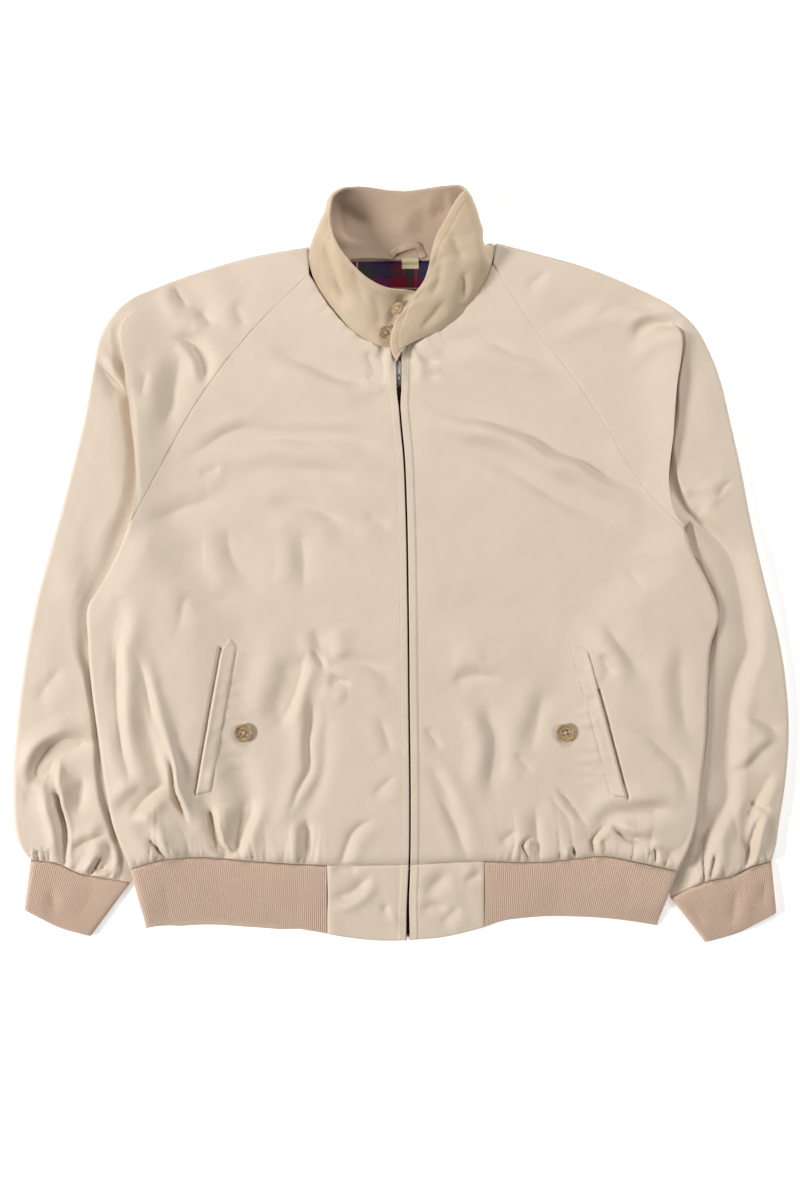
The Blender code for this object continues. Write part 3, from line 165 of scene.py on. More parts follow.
CUFF_SEAM = {  # share of the cuff seam's width, and its bow there from the straight line of its ends
    "right": [(0.0, 0.0), (0.25, -1.0), (0.5, -2.5), (0.75, 3.0), (1.0, 0.0)],
    "left": [(0.0, 0.0), (0.2, 3.0), (0.4, 3.0), (0.6, -1.0), (0.8, 2.0), (1.0, 0.0)],
}
# A cuff's open end: (x, y)
HAND = {"right": [(-309, -374), (-376, -347)], "left": [(305, -380), (377, -350)]}

# Broad folds of the body and of the arms: both ends, sideways bow, width left and right, rise
FOLDS = [
    (-282, 262, -285, -30, 16, 46, 10, 4.2),
    (286, 262, 284, 44, -11, 10, 26, 4.4),
    (-266, 190, -256, 50, 3, 26, 5, 1.6),
    (-132, 217, -15, 184, -10, 16, 9, -1.8),
    (-188, 120, -8, 110, 16, 14, 10, -2.4),
    (-200, 82, -30, 80, 8, 16, 14, -1.2),
    (-252, 42, -150, 60, 6, 14, 12, -1.2),
    (-135, 57, -50, 32, 8, 13, 10, -1.6),
    (-175, 32, -150, -28, 4, 14, 12, -1.2),
    (-100, 32, -92, -20, 0, 14, 10, -1.2),
    (-282, -43, -284, -193, -8, 9, 12, -4.5),
    (-262, -60, -262, -190, 4, 12, 12, 2.2),
    (-260, -128, -214, -262, -8, 8, 11, -4.2),
    (-195, -243, -183, -291, 3, 6, 6, -3.4),
    (-172, -183, -168, -288, 16, 12, 10, -2.4),
    (-102, -88, -122, -164, -5, 12, 10, -2.6),
    (-90, -128, -108, -262, 18, 12, 8, -2.8),
    (-92, -255, -92, -298, 0, 9, 8, -2.2),
    (-85, -68, -74, -104, 4, 9, 9, -1.8),
    (-72, -96, -5, -120, 14, 12, 10, -1.8),
    (-253, -223, -284, -254, 0, 9, 7, -2.6),
    (-267, -258, -240, -296, 4, 6, 8, -2.4),
    (12, 170, 240, 77, 14, 20, 11, -3.6),
    (40, 126, 238, 28, 8, 16, 11, -1.8),
    (40, 224, 158, 200, 10, 12, 10, -1.6),
    (50, -38, 162, -80, 6, 22, 18, -1.4),
    (80, -136, 94, -230, 10, 10, 9, -2.2),
    (50, -122, 90, -120, 8, 9, 9, -1.4),
    (130, -193, 156, -124, 6, 10, 10, -1.6),
    (22, -203, 66, -290, 6, 7, 7, -1.6),
    (200, -52, 246, -120, 4, 12, 9, -2.0),
    (222, -158, 290, -240, 16, 11, 8, -1.2),
    (280, -78, 294, -178, -10, 12, 8, -1.2),
    (188, -276, 272, -251, 14, 8, 8, -2.4),
    (214, -273, 256, -277, -4, 6, 7, -2.4),
    (-228, 288, -192, 236, 6, 14, 10, -2.0),
    (-228, 228, -196, 172, 16, 9, 10, -1.0),
    (-219, 212, -236, 122, 0, 14, 10, -1.3),
    (-180, 300, -145, 258, 4, 14, 12, -1.2),
    (150, 240, 266, 256, 14, 12, 9, -1.8),
    (228, 216, 290, 236, 12, 10, 8, -2.6),
]
ARM_FOLDS = [
    (-318, 20, -292, -30, 0, 16, 14, -1.6),
    (-371, -224, -306, -180, 16, 8, 9, -4.0),
    (-348, -222, -333, -298, 3, 7, 5, -3.8),
    (-326, -195, -318, -262, 0, 16, 12, -2.0),
    (-304, -312, -294, -272, -8, 6, 8, -2.6),
    (-378, -240, -352, -236, 4, 8, 8, -1.4),
    (282, 68, 300, 40, 6, 9, 9, -2.4),
    (322, 20, 344, -80, 6, 14, 14, -3.4),
    (345, -142, 382, -178, 4, 10, 8, -2.0),
    (372, -190, 344, -250, -8, 12, 10, -1.8),
    (358, -236, 346, -296, -6, 7, 7, -4.0),
    (306, -262, 303, -318, 2, 6, 7, -3.6),
]

# Creases in the folds: rise, width on the left of their way and on the right, then their points. The
# narrower side is the steep one.
CREASES = [
    (-1.6, 6, 4, [(-131, 215), (-80, 193), (-53, 183), (-16, 183)]),
    (-1.6, 4, 7, [(-227, 97), (-200, 111), (-173, 129), (-155, 133), (-133, 127), (-67, 127), (-27, 121),
                  (-8, 111)]),
    (-0.8, 5, 4, [(-200, 84), (-179, 95)]),
    (-0.8, 6, 5, [(-128, 92), (-80, 92), (-40, 81)]),
    (-0.9, 5, 7, [(-251, 39), (-213, 55), (-173, 63)]),
    (-1.0, 6, 5, [(-133, 55), (-93, 55), (-48, 31)]),
    (-0.6, 5, 5, [(-40, 49), (-8, 33)]),
    (-0.7, 6, 6, [(-173, 39), (-168, -1), (-152, -20)]),
    (-0.7, 6, 6, [(-101, 31), (-95, -1), (-101, -36)]),
    (-2.8, 6.5, 3.2, [(-230, 224), (-216, 224), (-205, 218), (-197, 206), (-195, 187), (-197, 171)]),
    (-1.3, 7, 6, [(-218, 217), (-222, 187), (-230, 157), (-237, 132)]),
    (-1.7, 5, 4, [(-229, 279), (-222, 265), (-210, 253)]),
    (-1.3, 5, 4, [(-204, 251), (-194, 244), (-187, 235)]),
    (-0.9, 6, 5, [(-166, 262), (-160, 247), (-154, 234)]),
    (-0.8, 5, 5, [(-250, 192), (-254, 177), (-258, 162)]),
    (-2.4, 6.8, 4.0, [(-274, -48), (-280, -83), (-283, -121), (-280, -153), (-277, -186), (-272, -213),
                      (-270, -238)]),
    (-2.0, 3, 9, [(-260, -83), (-250, -128), (-243, -158), (-235, -185), (-229, -206), (-227, -223)]),
    (-3.6, 1.8, 3.2, [(-234, -180), (-226, -204), (-224, -227), (-219, -241), (-210, -262)]),
    (-3.2, 6, 4, [(-272, -258), (-257, -242), (-234, -218)]),
    (-2.2, 2.5, 3, [(-254, -274), (-244, -284), (-234, -294), (-224, -304)]),
    (-3.8, 2.0, 3.0, [(-192, -240), (-189, -256), (-186, -270), (-181, -282), (-175, -294), (-165, -314)]),
    (-3.0, 3, 3, [(-189, -286), (-182, -289), (-171, -293), (-162, -296)]),
    (-3.0, 4, 7, [(-150, -228), (-153, -248), (-160, -268), (-164, -286), (-169, -307)]),
    (-2.3, 3.8, 6.0, [(-91, -86), (-101, -111), (-109, -136), (-115, -152), (-120, -170)]),
    (-1.4, 2.5, 3, [(-88, -84), (-81, -96), (-72, -109)]),
    (-1.2, 5, 5, [(-72, -113), (-60, -120), (-48, -124)]),
    (-2.1, 3.0, 5.6, [(-91, -128), (-89, -171), (-93, -205), (-104, -231), (-115, -258)]),
    (-2.0, 4, 4, [(-93, -250), (-92, -273), (-93, -298), (-94, -320)]),
    (-0.8, 4, 4, [(-85, -66), (-75, -98)]),
    (-1.0, 4, 5, [(-72, -103), (-32, -101), (-16, -114)]),
    (-0.8, 4, 4, [(-72, -125), (-56, -119)]),
    (-0.8, 5, 4, [(-21, -151), (-8, -194)]),
    (-0.8, 4, 4, [(-27, -234), (-3, -213)]),
    (-1.2, 4, 4, [(-64, -316), (-56, -295), (-48, -274), (-21, -253)]),
    (-0.8, 6, 6, [(-227, -82), (-219, -58), (-213, -37), (-181, -42), (-160, -29)]),
    (-2.0, 8, 5, [(11, 172), (40, 151), (93, 140), (139, 124), (187, 97), (233, 74), (258, 60), (275, 50)]),
    (-0.7, 7, 5, [(48, 124), (88, 111), (128, 81), (187, 49), (235, 31)]),
    (-0.9, 6, 5, [(37, 220), (80, 225), (115, 207), (160, 196), (171, 188)]),
    (-0.8, 5, 5, [(125, 273), (149, 289)]),
    (-1.1, 5, 7, [(190, 236), (205, 249), (225, 255), (250, 253), (268, 246)]),
    (-2.0, 3, 6, [(232, 222), (240, 233), (252, 239), (268, 241), (284, 238)]),
    (-0.5, 4, 4, [(225, -3), (236, -15), (247, -30)]),
    (-0.7, 5, 4, [(205, -55), (221, -87), (240, -111)]),
    (-0.6, 9, 6, [(276, -74), (279, -128), (286, -166), (298, -182)]),
    (-0.8, 5, 7, [(226, -156), (240, -170), (255, -179), (270, -191), (282, -212), (287, -238)]),
    (-0.8, 4, 5, [(51, -117), (64, -114), (101, -119)]),
    (-0.9, 6, 5, [(87, -140), (91, -178), (90, -238)]),
    (-0.5, 5, 5, [(141, -125), (139, -151), (131, -194)]),
    (-0.8, 5, 4, [(115, -189), (133, -215)]),
    (-0.9, 5, 4, [(24, -165), (40, -191)]),
    (-0.7, 5, 4, [(24, -199), (59, -247)]),
    (-0.7, 5, 4, [(24, -221), (53, -258), (67, -293), (75, -313)]),
    (-1.5, 5, 5, [(134, -238), (135, -271), (138, -290), (141, -312)]),
    (-1.4, 3, 3, [(151, -223), (170, -242), (192, -265)]),
    (-1.1, 3, 3, [(145, -234), (158, -246), (175, -262)]),
    (-1.6, 5, 4, [(197, -90), (204, -102), (211, -116)]),
    (-1.5, 4, 5, [(216, -250), (240, -244), (268, -250)]),
    (-2.9, 1.8, 2.4, [(211, -262), (201, -269), (193, -278), (194, -287), (199, -297), (209, -317)]),
    (-2.4, 3, 3.5, [(210, -262), (222, -272), (231, -276), (248, -274)]),
    (-2.4, 2, 2, [(254, -283), (254, -298), (254, -306)]),
    (-2.2, 2.2, 2.2, [(130, -302), (125, -290), (121, -281), (127, -275), (134, -276)]),
    (-2.0, 2, 2, [(172, -282), (173, -296), (174, -304)]),
    (-1.4, 4, 4, [(100, -283), (108, -274), (114, -264)]),
    (-1.3, 4, 4, [(253, -285), (268, -294), (276, -298)]),
    (-2.4, 3, 5, [(-14, 222), (-18, 206), (-19, 194), (-15, 178)]),
    (-1.6, 3, 4, [(-36, 212), (-26, 199), (-10, 188)]),
    (-1.2, 3, 3, [(-34, 190), (-24, 184), (-10, 180)]),
    (-2.0, 3, 5, [(5, 221), (9, 205), (12, 190), (11, 174)]),
    (-1.5, 3, 5, [(11, 218), (24, 205), (42, 197)]),
    (-1.0, 3, 4, [(10, 198), (24, 187), (42, 182)]),
]
ARM_CREASES = [
    (-0.9, 6, 6, [(-368, -143), (-333, -101)]),
    (-2.9, 4, 9, [(-370, -228), (-367, -212), (-361, -201), (-354, -190), (-344, -182), (-332, -178),
                  (-318, -177), (-303, -180)]),
    (-1.4, 8, 8, [(-364, -224), (-357, -210), (-350, -198)]),
    (1.3, 3, 3, [(-340, -190), (-342, -216), (-341, -238)]),
    (-3.0, 1.7, 4.0, [(-346, -202), (-343, -223), (-340, -241), (-338, -256), (-336, -280), (-335, -304),
                      (-334, -326)]),
    (-1.5, 6, 5, [(-321, -208), (-320, -233), (-323, -258)]),
    (-2.0, 4, 3, [(-291, -272), (-306, -278), (-319, -283), (-330, -290)]),
    (-2.6, 1.8, 1.8, [(-298, -291), (-303, -300), (-307, -308), (-311, -317)]),
    (-1.6, 1.8, 1.8, [(-308, -307), (-301, -307), (-294, -302)]),
    (-1.8, 1.5, 1.5, [(-362, -284), (-360, -301), (-359, -310)]),
    (-1.8, 1.5, 1.5, [(-356, -283), (-354, -302), (-353, -312)]),
    (-1.6, 1.5, 1.5, [(-351, -285), (-350, -301), (-350, -309)]),
    (-2.2, 3, 12, [(-310, 206), (-296, 192), (-284, 179), (-271, 158)]),
    (-0.8, 3, 3, [(333, 85), (324, 75), (316, 60)]),
    (-1.2, 6, 3, [(388, -175), (371, -183), (357, -194), (345, -204), (328, -212), (306, -221)]),
    (-2.0, 3, 9, [(375, -206), (366, -220), (356, -237), (346, -256)]),
    (-3.0, 1.7, 3.2, [(362, -244), (358, -260), (353, -276), (346, -296), (339, -317)]),
    (-1.8, 2.5, 2.5, [(348, -245), (355, -241), (362, -243), (368, -251)]),
    (-2.4, 1.7, 2.4, [(306, -268), (304, -288), (303, -314), (302, -336)]),
    (-2.6, 2, 2, [(314, -288), (310, -311), (308, -322)]),
    (-2.4, 3, 3, [(289, -278), (283, -296), (278, -312), (273, -329)]),
    (-1.1, 4, 4, [(341, -151), (360, -160), (383, -176)]),
    (-1.0, 5, 5, [(325, -238), (335, -268), (333, -288)]),
]

POCKET_PUCKERS = {  # y of the small creases that run from each welt
    "left": (-136, -146, -155, -166, -178, -189, -201, -213),
    "right": (-108, -122, -135, -147, -160, -183, -197, -212),
}


def pocket_puckers():
    """Rows of creases for both pockets, each a little unlike the next."""
    for k, y in enumerate(POCKET_PUCKERS["left"]):
        yield (-0.18 - 0.05 * (k % 4), 1.6 + 0.5 * (k % 3), 1.8 + 0.3 * (k % 2),
               [(172 + 2 * (k % 3), y), (185, y - 1), (197 + 3 * (k % 2), y + 2)])
    for k, y in enumerate(POCKET_PUCKERS["right"]):
        yield (-0.18 - 0.05 * (k % 4), 1.6 + 0.5 * ((k + 2) % 3), 1.8 + 0.3 * (k % 2),
               [(-178 + 2 * (k % 2), y), (-166, y + 1), (-152 + 2 * (k % 3), y - 1)])


CREASES += pocket_puckers()

# Creases of the collar's outer ply, its inner ply and the end that lies under, of ribs and of tabs
COLLAR_OUTSIDE = [
    (-1.8, 4, 4, [(81, 330), (87, 312), (93, 292)]),
    (-1.2, 4, 4, [(49, 326), (56, 308), (64, 292)]),
    (-1.8, 2.5, 4, [(62, 289), (64, 274), (61, 258)]),
    (-1.8, 3, 6, [(-77, 323), (-69, 298), (-60, 275), (-48, 256)]),
    (-1.0, 5, 5, [(-28, 270), (-21, 244), (-24, 222)]),
    (-1.0, 4, 4, [(18, 230), (32, 243), (46, 262)]),
    (-0.8, 4, 4, [(40, 300), (38, 277), (28, 257)]),
    (-1.0, 5, 5, [(-48, 300), (-42, 272), (-28, 244)]),
]
COLLAR_INSIDE = [
    (-2.0, 3, 3, [(41, 370), (42, 356), (40, 338)]),
    (-2.6, 15, 4, [(-60, 362), (-60, 345), (-52, 318)]),
    (-1.8, 10, 4, [(-44, 352), (-47, 336), (-40, 316)]),
    (-1.0, 5, 5, [(24, 354), (20, 322)]),
]
COLLAR_UNDER = [
    (-2.6, 3, 14, [(16, 276), (5, 258), (-6, 240), (-14, 222)]),
]
CUFF_CREASES = [
    (-1.1, 6, 4, [(-350, -324), (-348, -337), (-341, -352)]),
    (-0.5, 7, 7, [(-364, -343), (-344, -355), (-322, -363)]),
    (-0.6, 7, 7, [(-304, -322), (-315, -343), (-328, -360)]),
    (-1.3, 4, 6, [(337, -324), (335, -343), (331, -366)]),
    (-0.9, 5, 5, [(365, -316), (362, -343)]),
    (-0.9, 5, 5, [(290, -343), (305, -364)]),
]
BAND_CREASES = [
    (-1.2, 7, 7, [(-237, -314), (-233, -338), (-229, -362)]),
    (-0.8, 9, 9, [(-185, -306), (-178, -353)]),
    (-0.8, 9, 9, [(-100, -310), (-104, -358)]),
    (-0.8, 9, 9, [(160, -308), (156, -353)]),
    (-1.0, 8, 8, [(225, -306), (230, -356)]),
]
TAB_CREASES = [
    (-2.2, 7, 3, [(-72, -336), (-58, -336), (-47, -332), (-36, -322), (-26, -312)]),
    (-1.2, 4, 4, [(-18, -350), (-10, -343)]),
    (-1.2, 4, 5, [(-70, -308), (-55, -306), (-40, -308)]),
    (-1.5, 5, 9, [(20, -338), (30, -328), (40, -318), (52, -310)]),
    (-1.2, 3, 4, [(62, -319), (72, -316), (82, -309)]),
    (-1.3, 4, 5, [(18, -350), (32, -344), (50, -346)]),
    (-1.0, 4, 4, [(40, -364), (52, -352), (62, -343)]),
]

# Collar stations from the button end round the back to the lapped end, at the middle of its plies
COLLAR = [  # seam x, y, z, middle x, y, z, top edge x, y, z
    (11, 220.5, 8.2, 17, 244, 10.5, 24, 268, 14.5),
    (-1, 217.5, 8.4, 2, 244, 13, 6, 270, 18.5),
    (-15, 218, 8.8, -13, 245, 16, -12, 271, 24),
    (-31, 224, 8.8, -30, 251, 18, -29, 278, 28),
    (-48, 235, 8.6, -45, 260, 17.5, -43, 289, 31),
    (-63, 251, 8.2, -56, 271, 15, -53, 300, 33),
    (-75.5, 268, 7.8, -67, 284, 14, -61, 311, 35),
    (-86, 287.5, 7.2, -75, 301, 14, -67, 325, 36),
    (-90, 304, 6.4, -80, 315, 17, -69, 337, 37),
    (-88, 315, 5.4, -82, 327, 20, -68, 348, 37),
    (-80, 313, 4.4, -78, 340, 18, -66, 358, 34),
    (-64, 308, 3.4, -69, 353, 14, -57, 367, 28),
    (-44, 306.5, 3.2, -50, 338, 7, -43, 372, 20),
    (0, 305.5, 3.2, 0, 336, 5, 1, 369, 12),
    (46, 306, 3.2, 49, 340, 9, 45, 372, 23),
    (66, 308, 3.6, 70, 350, 15, 58, 370, 31),
    (82, 314, 4.4, 79, 335, 22, 63, 364, 37),
    (91, 316, 5.6, 81, 321, 24, 58, 359, 39),
    (92, 305, 6.8, 81, 311, 24, 51, 348, 39),
    (88, 291, 7.8, 75, 301, 26, 44, 335, 38),
    (79, 274, 8.4, 62, 287, 26, 37, 323, 37),
    (66, 257, 8.6, 49, 273, 25, 32, 309, 35),
    (50, 242, 8.8, 37, 260, 23, 29, 294, 32),
    (33, 231, 9.2, 25, 249, 21, 24, 278, 28),
    (16, 223, 11.5, 12, 240, 19.5, 15, 266, 25),
    (3, 214, 13.5, 3, 232, 18, 11, 260, 23),
    (-5, 202, 14.0, -9, 226, 17.5, 7, 256, 22.5),
]
POCKET = {  # ends of the slanted opening
    "right": ((-177.5, -86), (-203, -232)),
    "left": ((186, -88), (225, -235)),
}
WELT_WIDTH = 15.0
LOOP_WIDTH = 6.6
LOOP_ROUTE = [(-9, 305), (-5, 310), (2, 313), (9, 315), (16, 316), (21, 312), (23, 304)]


# Curves and small shape functions

def smooth_line(rows, steps=16):
    """Points of a smooth line through the rows of a table."""
    rows = np.array(rows, float)
    along = np.concatenate([[0], np.cumsum(np.linalg.norm(np.diff(rows, axis=0), axis=1))])
    slope = np.gradient(rows, along, axis=0)
    line = []
    for k in range(len(rows) - 1):
        span = along[k + 1] - along[k]
        for t in np.arange(steps) / steps:
            a, b = 2 * t**3 - 3 * t**2 + 1, t**3 - 2 * t**2 + t
            c, d = 3 * t**2 - 2 * t**3, t**3 - t**2
            line.append(a * rows[k] + b * span * slope[k] + c * rows[k + 1] + d * span * slope[k + 1])
    return np.array(line + [rows[-1]])


def lengths_of(line):
    return np.concatenate([[0], np.cumsum(np.linalg.norm(np.diff(line, axis=0), axis=1))])


def at_share(line, share):
    """The points at shares of a line's length."""
    along = lengths_of(line)
    return np.stack([np.interp(share, along / along[-1], column) for column in line.T], axis=-1)


def x_at(line, y):
    order = np.argsort(line[:, 1], kind="stable")
    return np.interp(y, line[order, 1], line[order, 0])


def y_at(line, x):
    order = np.argsort(line[:, 0], kind="stable")
    return np.interp(x, line[order, 0], line[order, 1])


def ease(t):
    t = np.clip(t, 0, 1)
    return t * t * (3 - 2 * t)


def quarter_round(t):
    """0 at an edge, rising like a quarter circle to 1."""
    return np.sqrt(np.clip(1 - (1 - np.clip(t, 0, 1)) ** 2, 0, 1))


def bell(distance, width):
    """1 on a line, falling to 0 beside it."""
    return np.exp(-((distance / width) ** 2))


def smooth_max(a, b, soft=1.2):
    """The greater of two heights, with a soft passage between them."""
    return (a + b + np.sqrt((a - b) ** 2 + soft * soft)) / 2 - soft / 3


def steps_between(*stops):
    """Shares in runs: each stop after the first is (share, how many steps lead to it)."""
    shares = [np.array([stops[0]], float)]
    for share, count in stops[1:]:
        shares.append(np.linspace(shares[-1][-1], share, count + 1)[1:])
    return np.concatenate(shares)


def noise(x, y, seed):
    """Smooth noise from -1 to 1 over the plane, one cell a unit."""
    lattice = np.random.default_rng(seed).uniform(-1, 1, (64, 64))
    column, row = np.floor(x).astype(int), np.floor(y).astype(int)
    s, t = ease(x - column), ease(y - row)

    def corner(dx, dy):
        return lattice[(row + dy) % 64, (column + dx) % 64]

    low = corner(0, 0) * (1 - s) + corner(1, 0) * s
    high = corner(0, 1) * (1 - s) + corner(1, 1) * s
    return low * (1 - t) + high * t


def nearest(line, x, y):
    """For points, the distance to a line in plan, positive on its left, and how far along it they lie."""
    px, py = np.ravel(x)[:, None], np.ravel(y)[:, None]
    a, d = line[:-1], np.diff(line, axis=0)
    length = np.hypot(d[:, 0], d[:, 1]) + 1e-9
    ux, uy = d[:, 0] / length, d[:, 1] / length
    along = np.clip((px - a[:, 0]) * ux + (py - a[:, 1]) * uy, 0, length)
    gx, gy = px - a[:, 0] - along * ux, py - a[:, 1] - along * uy
    distance = np.hypot(gx, gy)
    best = distance.argmin(axis=1)
    pick = np.arange(len(best)), best
    side = np.where(ux[best] * gy[pick] - uy[best] * gx[pick] < 0, -1, 1)
    run = lengths_of(line)[best] + along[pick]
    return (distance[pick] * side).reshape(np.shape(x)), run.reshape(np.shape(x))


def folds_height(folds, x, y):
    """The height that a table of folds adds. A trough has a ridge along its steeper side."""
    height = np.zeros(np.shape(x))
    for x0, y0, x1, y1, bow, left, right, rise in folds:
        steep = -1 if right < left else 1
        narrow = min(left, right)
        length = math.hypot(x1 - x0, y1 - y0)
        dx, dy = (x1 - x0) / length, (y1 - y0) / length
        along = (x - x0) * dx + (y - y0) * dy
        share = np.clip(along / length, 0, 1)
        side = (x - x0) * -dy + (y - y0) * dx - bow * 4 * share * (1 - share)
        past = along - share * length
        width = np.where(side > 0, left, right)
        taper = ease(share / 0.3) * ease((1 - share) / 0.3) * 0.75 + 0.25
        form = bell(side, width)
        if rise < 0:
            form = form - 0.9 * bell(side - steep * 2.1 * narrow, 1.2 * narrow)
        height = height + rise * taper * form * bell(past, 10)
    return height


def creases_height(creases, x, y):
    """The height that a table of creases adds: troughs, each with a crest on its steep side."""
    height = np.zeros(np.shape(x))
    for rise, left, right, points in creases:
        line = smooth_line(points, steps=5) if len(points) > 2 else np.array(points, float)
        reach = 4 * max(left, right)
        low, high = line.min(axis=0) - reach, line.max(axis=0) + reach
        near = (x > low[0]) & (x < high[0]) & (y > low[1]) & (y < high[1])
        if not near.any():
            continue
        side, run = nearest(line, x[near], y[near])
        share = run / lengths_of(line)[-1]
        taper = ease(share / 0.35) * ease((1 - share) / 0.35)
        steep, narrow = (1 if left < right else -1), min(left, right)
        width = np.where(side > 0, left, right)
        power = np.where(side * steep > 0, 1.1, 1.5)
        trough = np.exp(-((np.abs(side) / width) ** power))
        crest = 0.45 * bell(side - steep * (2.6 * narrow + 1), 1.7 * narrow + 0.5)
        height[near] += rise * taper * (trough - crest)
    return height


SIDES = {side: smooth_line(rows) for side, rows in SIDE_EDGE.items()}
RAGLANS = {side: smooth_line(rows) for side, rows in RAGLAN.items()}
NECKS = {side: smooth_line(rows) for side, rows in NECK.items()}
ZIP = smooth_line(ZIP_LINE)
SEAM = smooth_line(HEM_SEAM)
EDGE = smooth_line(HEM_EDGE)
SECTIONS = {side: smooth_line(rows, steps=SECTION_STEPS) for side, rows in SLEEVE.items()}
UNDERARM = {side: rows[-1][1] for side, rows in SIDE_EDGE.items()}


def slit(y):
    return np.interp(y, [row[0] for row in ZIP_SLIT], [row[1] for row in ZIP_SLIT])


def sleeve_inner(side):
    """The hidden inner edge of an arm, under the body, with a lead-in above the underarm."""
    rows = [(row[0], row[1]) for row in SLEEVE[side][ARM_SECTIONS:]]
    out = OUTWARD[side]
    x, y = rows[0]
    return smooth_line([(x + 26 * out, y + 24), (x + 11 * out, y + 11)] + rows)


INNER = {side: sleeve_inner(side) for side in SLEEVE}


def over_sleeve(x, y):
    """0 where the body lies on the table, 1 where it lies over a sleeve."""
    share = np.zeros(np.shape(x))
    for side, out in OUTWARD.items():
        inside = (x - x_at(INNER[side], y)) * out
        share = np.maximum(share, ease((inside + 66) / 68) * ease((y + 362) / 26))
    return share


def side_rim(x, y):
    """0 at the body's side edges, rising like a rolled edge to 1, and 1 all over above the underarm."""
    rim = np.ones(np.shape(x))
    for side, out in OUTWARD.items():
        inside = (x_at(SIDES[side], y) - x) * out
        rolled = (1 - SOFT_ROLL[side]) * quarter_round(inside / 4) + SOFT_ROLL[side] * ease(inside / ROLL)
        above = ease((y - UNDERARM[side] + 25) / 30)
        rim = np.minimum(rim, rolled + (1 - rolled) * above)
    return rim


def wander(x, y, reach=2.5, cell=30.0):
    """Points moved a little to and fro, so that folds read through them aren't drawn with a ruler."""
    return x + reach * noise(x / cell, y / cell, 11), y + reach * noise(x / cell, y / cell, 12)


def body_top(x, y):
    """The top of the cloth over chest and shoulders, folds and creases included."""
    over = over_sleeve(x, y)
    from_hem = y - y_at(SEAM, x)
    lift = PUFF + PUFF_OVER_SLEEVE * over + BLOUSE * bell(y - BLOUSE_Y, BLOUSE_WIDTH)
    wx, wy = wander(x, y)
    fold = FOLD_RISE * folds_height(FOLDS, wx, wy) + CREASE_RISE * creases_height(CREASES, wx, wy)
    ripple = 0.4 * noise(x / 31, y / 22, 5) + 0.2 * noise(x / 12, y / 9, 6)
    rise = lift * quarter_round((from_hem + 0.4) / HEM_FALL) + (fold + ripple) * ease((from_hem + 5) / 12)
    return SLEEVE_STACK * over + UNDER + PLY_GAP + SHELL + side_rim(x, y) * np.maximum(rise, 0.2)


# Meshes

def turn(points, axis, end, profile):
    """A grid with one edge turned down: each step of the profile lies (outward, down) from that edge."""
    grid = points if axis == 0 else points.swapaxes(0, 1)
    grid = grid[::-1] if end == 0 else grid
    outward = grid[-1, :, :2] - grid[-3, :, :2]
    outward = outward / (np.linalg.norm(outward, axis=1, keepdims=True) + 1e-9)
    rows = []
    for out, down in profile:
        out, down = np.broadcast_to(out, len(outward)), np.broadcast_to(down, len(outward))
        rows.append(np.column_stack([grid[-1, :, :2] + outward * out[:, None], grid[-1, :, 2] - down]))
    grid = np.concatenate([grid, np.array(rows)])
    grid = grid[::-1] if end == 0 else grid
    return grid if axis == 0 else grid.swapaxes(0, 1)


def mesh_object(name, vertices, faces, material):
    """An object with its points in millimetres."""
    mesh = bpy.data.meshes.new(name)
    mesh.from_pydata(np.asarray(vertices) * MM, [], faces)
    mesh.materials.append(material)
    mesh.shade_smooth()
    obj = bpy.data.objects.new(name, mesh)
    bpy.context.scene.collection.objects.link(obj)
    return obj


def corners_of(grid):
    """The four corners of every cell of a grid, in turn."""
    return np.stack([grid[:-1, :-1], grid[:-1, 1:], grid[1:, 1:], grid[1:, :-1]], axis=2)


def lengths_over(grid, axis):
    """How far each point of a grid lies along its line, from the line's start."""
    start = np.take(grid, [0], axis=axis)
    return np.cumsum(np.linalg.norm(np.diff(grid, axis=axis, prepend=start), axis=2), axis=axis)


def cloth_map(points):
    """Where each point of a grid lies on the flat cloth, in metres: across from the middle, and along."""
    across, along = lengths_over(points, 1), lengths_over(points, 0)
    across = across - across[:, -1:] / 2
    return np.stack([across, np.broadcast_to(along.mean(axis=1, keepdims=True), across.shape)], axis=-1) * MM


def closed_ring(points):
    """A grid with its first column again after its last."""
    return np.concatenate([points, points[:, :1]], axis=1)


def grid_object(name, points, material, ring=False):
    """An object from a grid of points, faces up, with a UV map in metres across and along the cloth."""
    rows, columns = points.shape[:2]
    index = np.arange(rows * columns).reshape(rows, columns)
    if ring:
        index = np.column_stack([index, index[:, 0]])
    obj = mesh_object(name, points.reshape(-1, 3), corners_of(index).reshape(-1, 4).tolist(), material)
    uv = cloth_map(closed_ring(points) if ring else points)
    layer = obj.data.uv_layers.new(name="cloth")
    layer.data.foreach_set("uv", corners_of(uv).reshape(-1).astype(np.float32))
    if ring:
        bm = bmesh.new()
        bm.from_mesh(obj.data)
        bmesh.ops.recalc_face_normals(bm, faces=bm.faces)
        bm.to_mesh(obj.data)
        bm.free()
    elif sum(face.normal.z * face.area for face in obj.data.polygons) < 0:
        obj.data.flip_normals()
    return obj


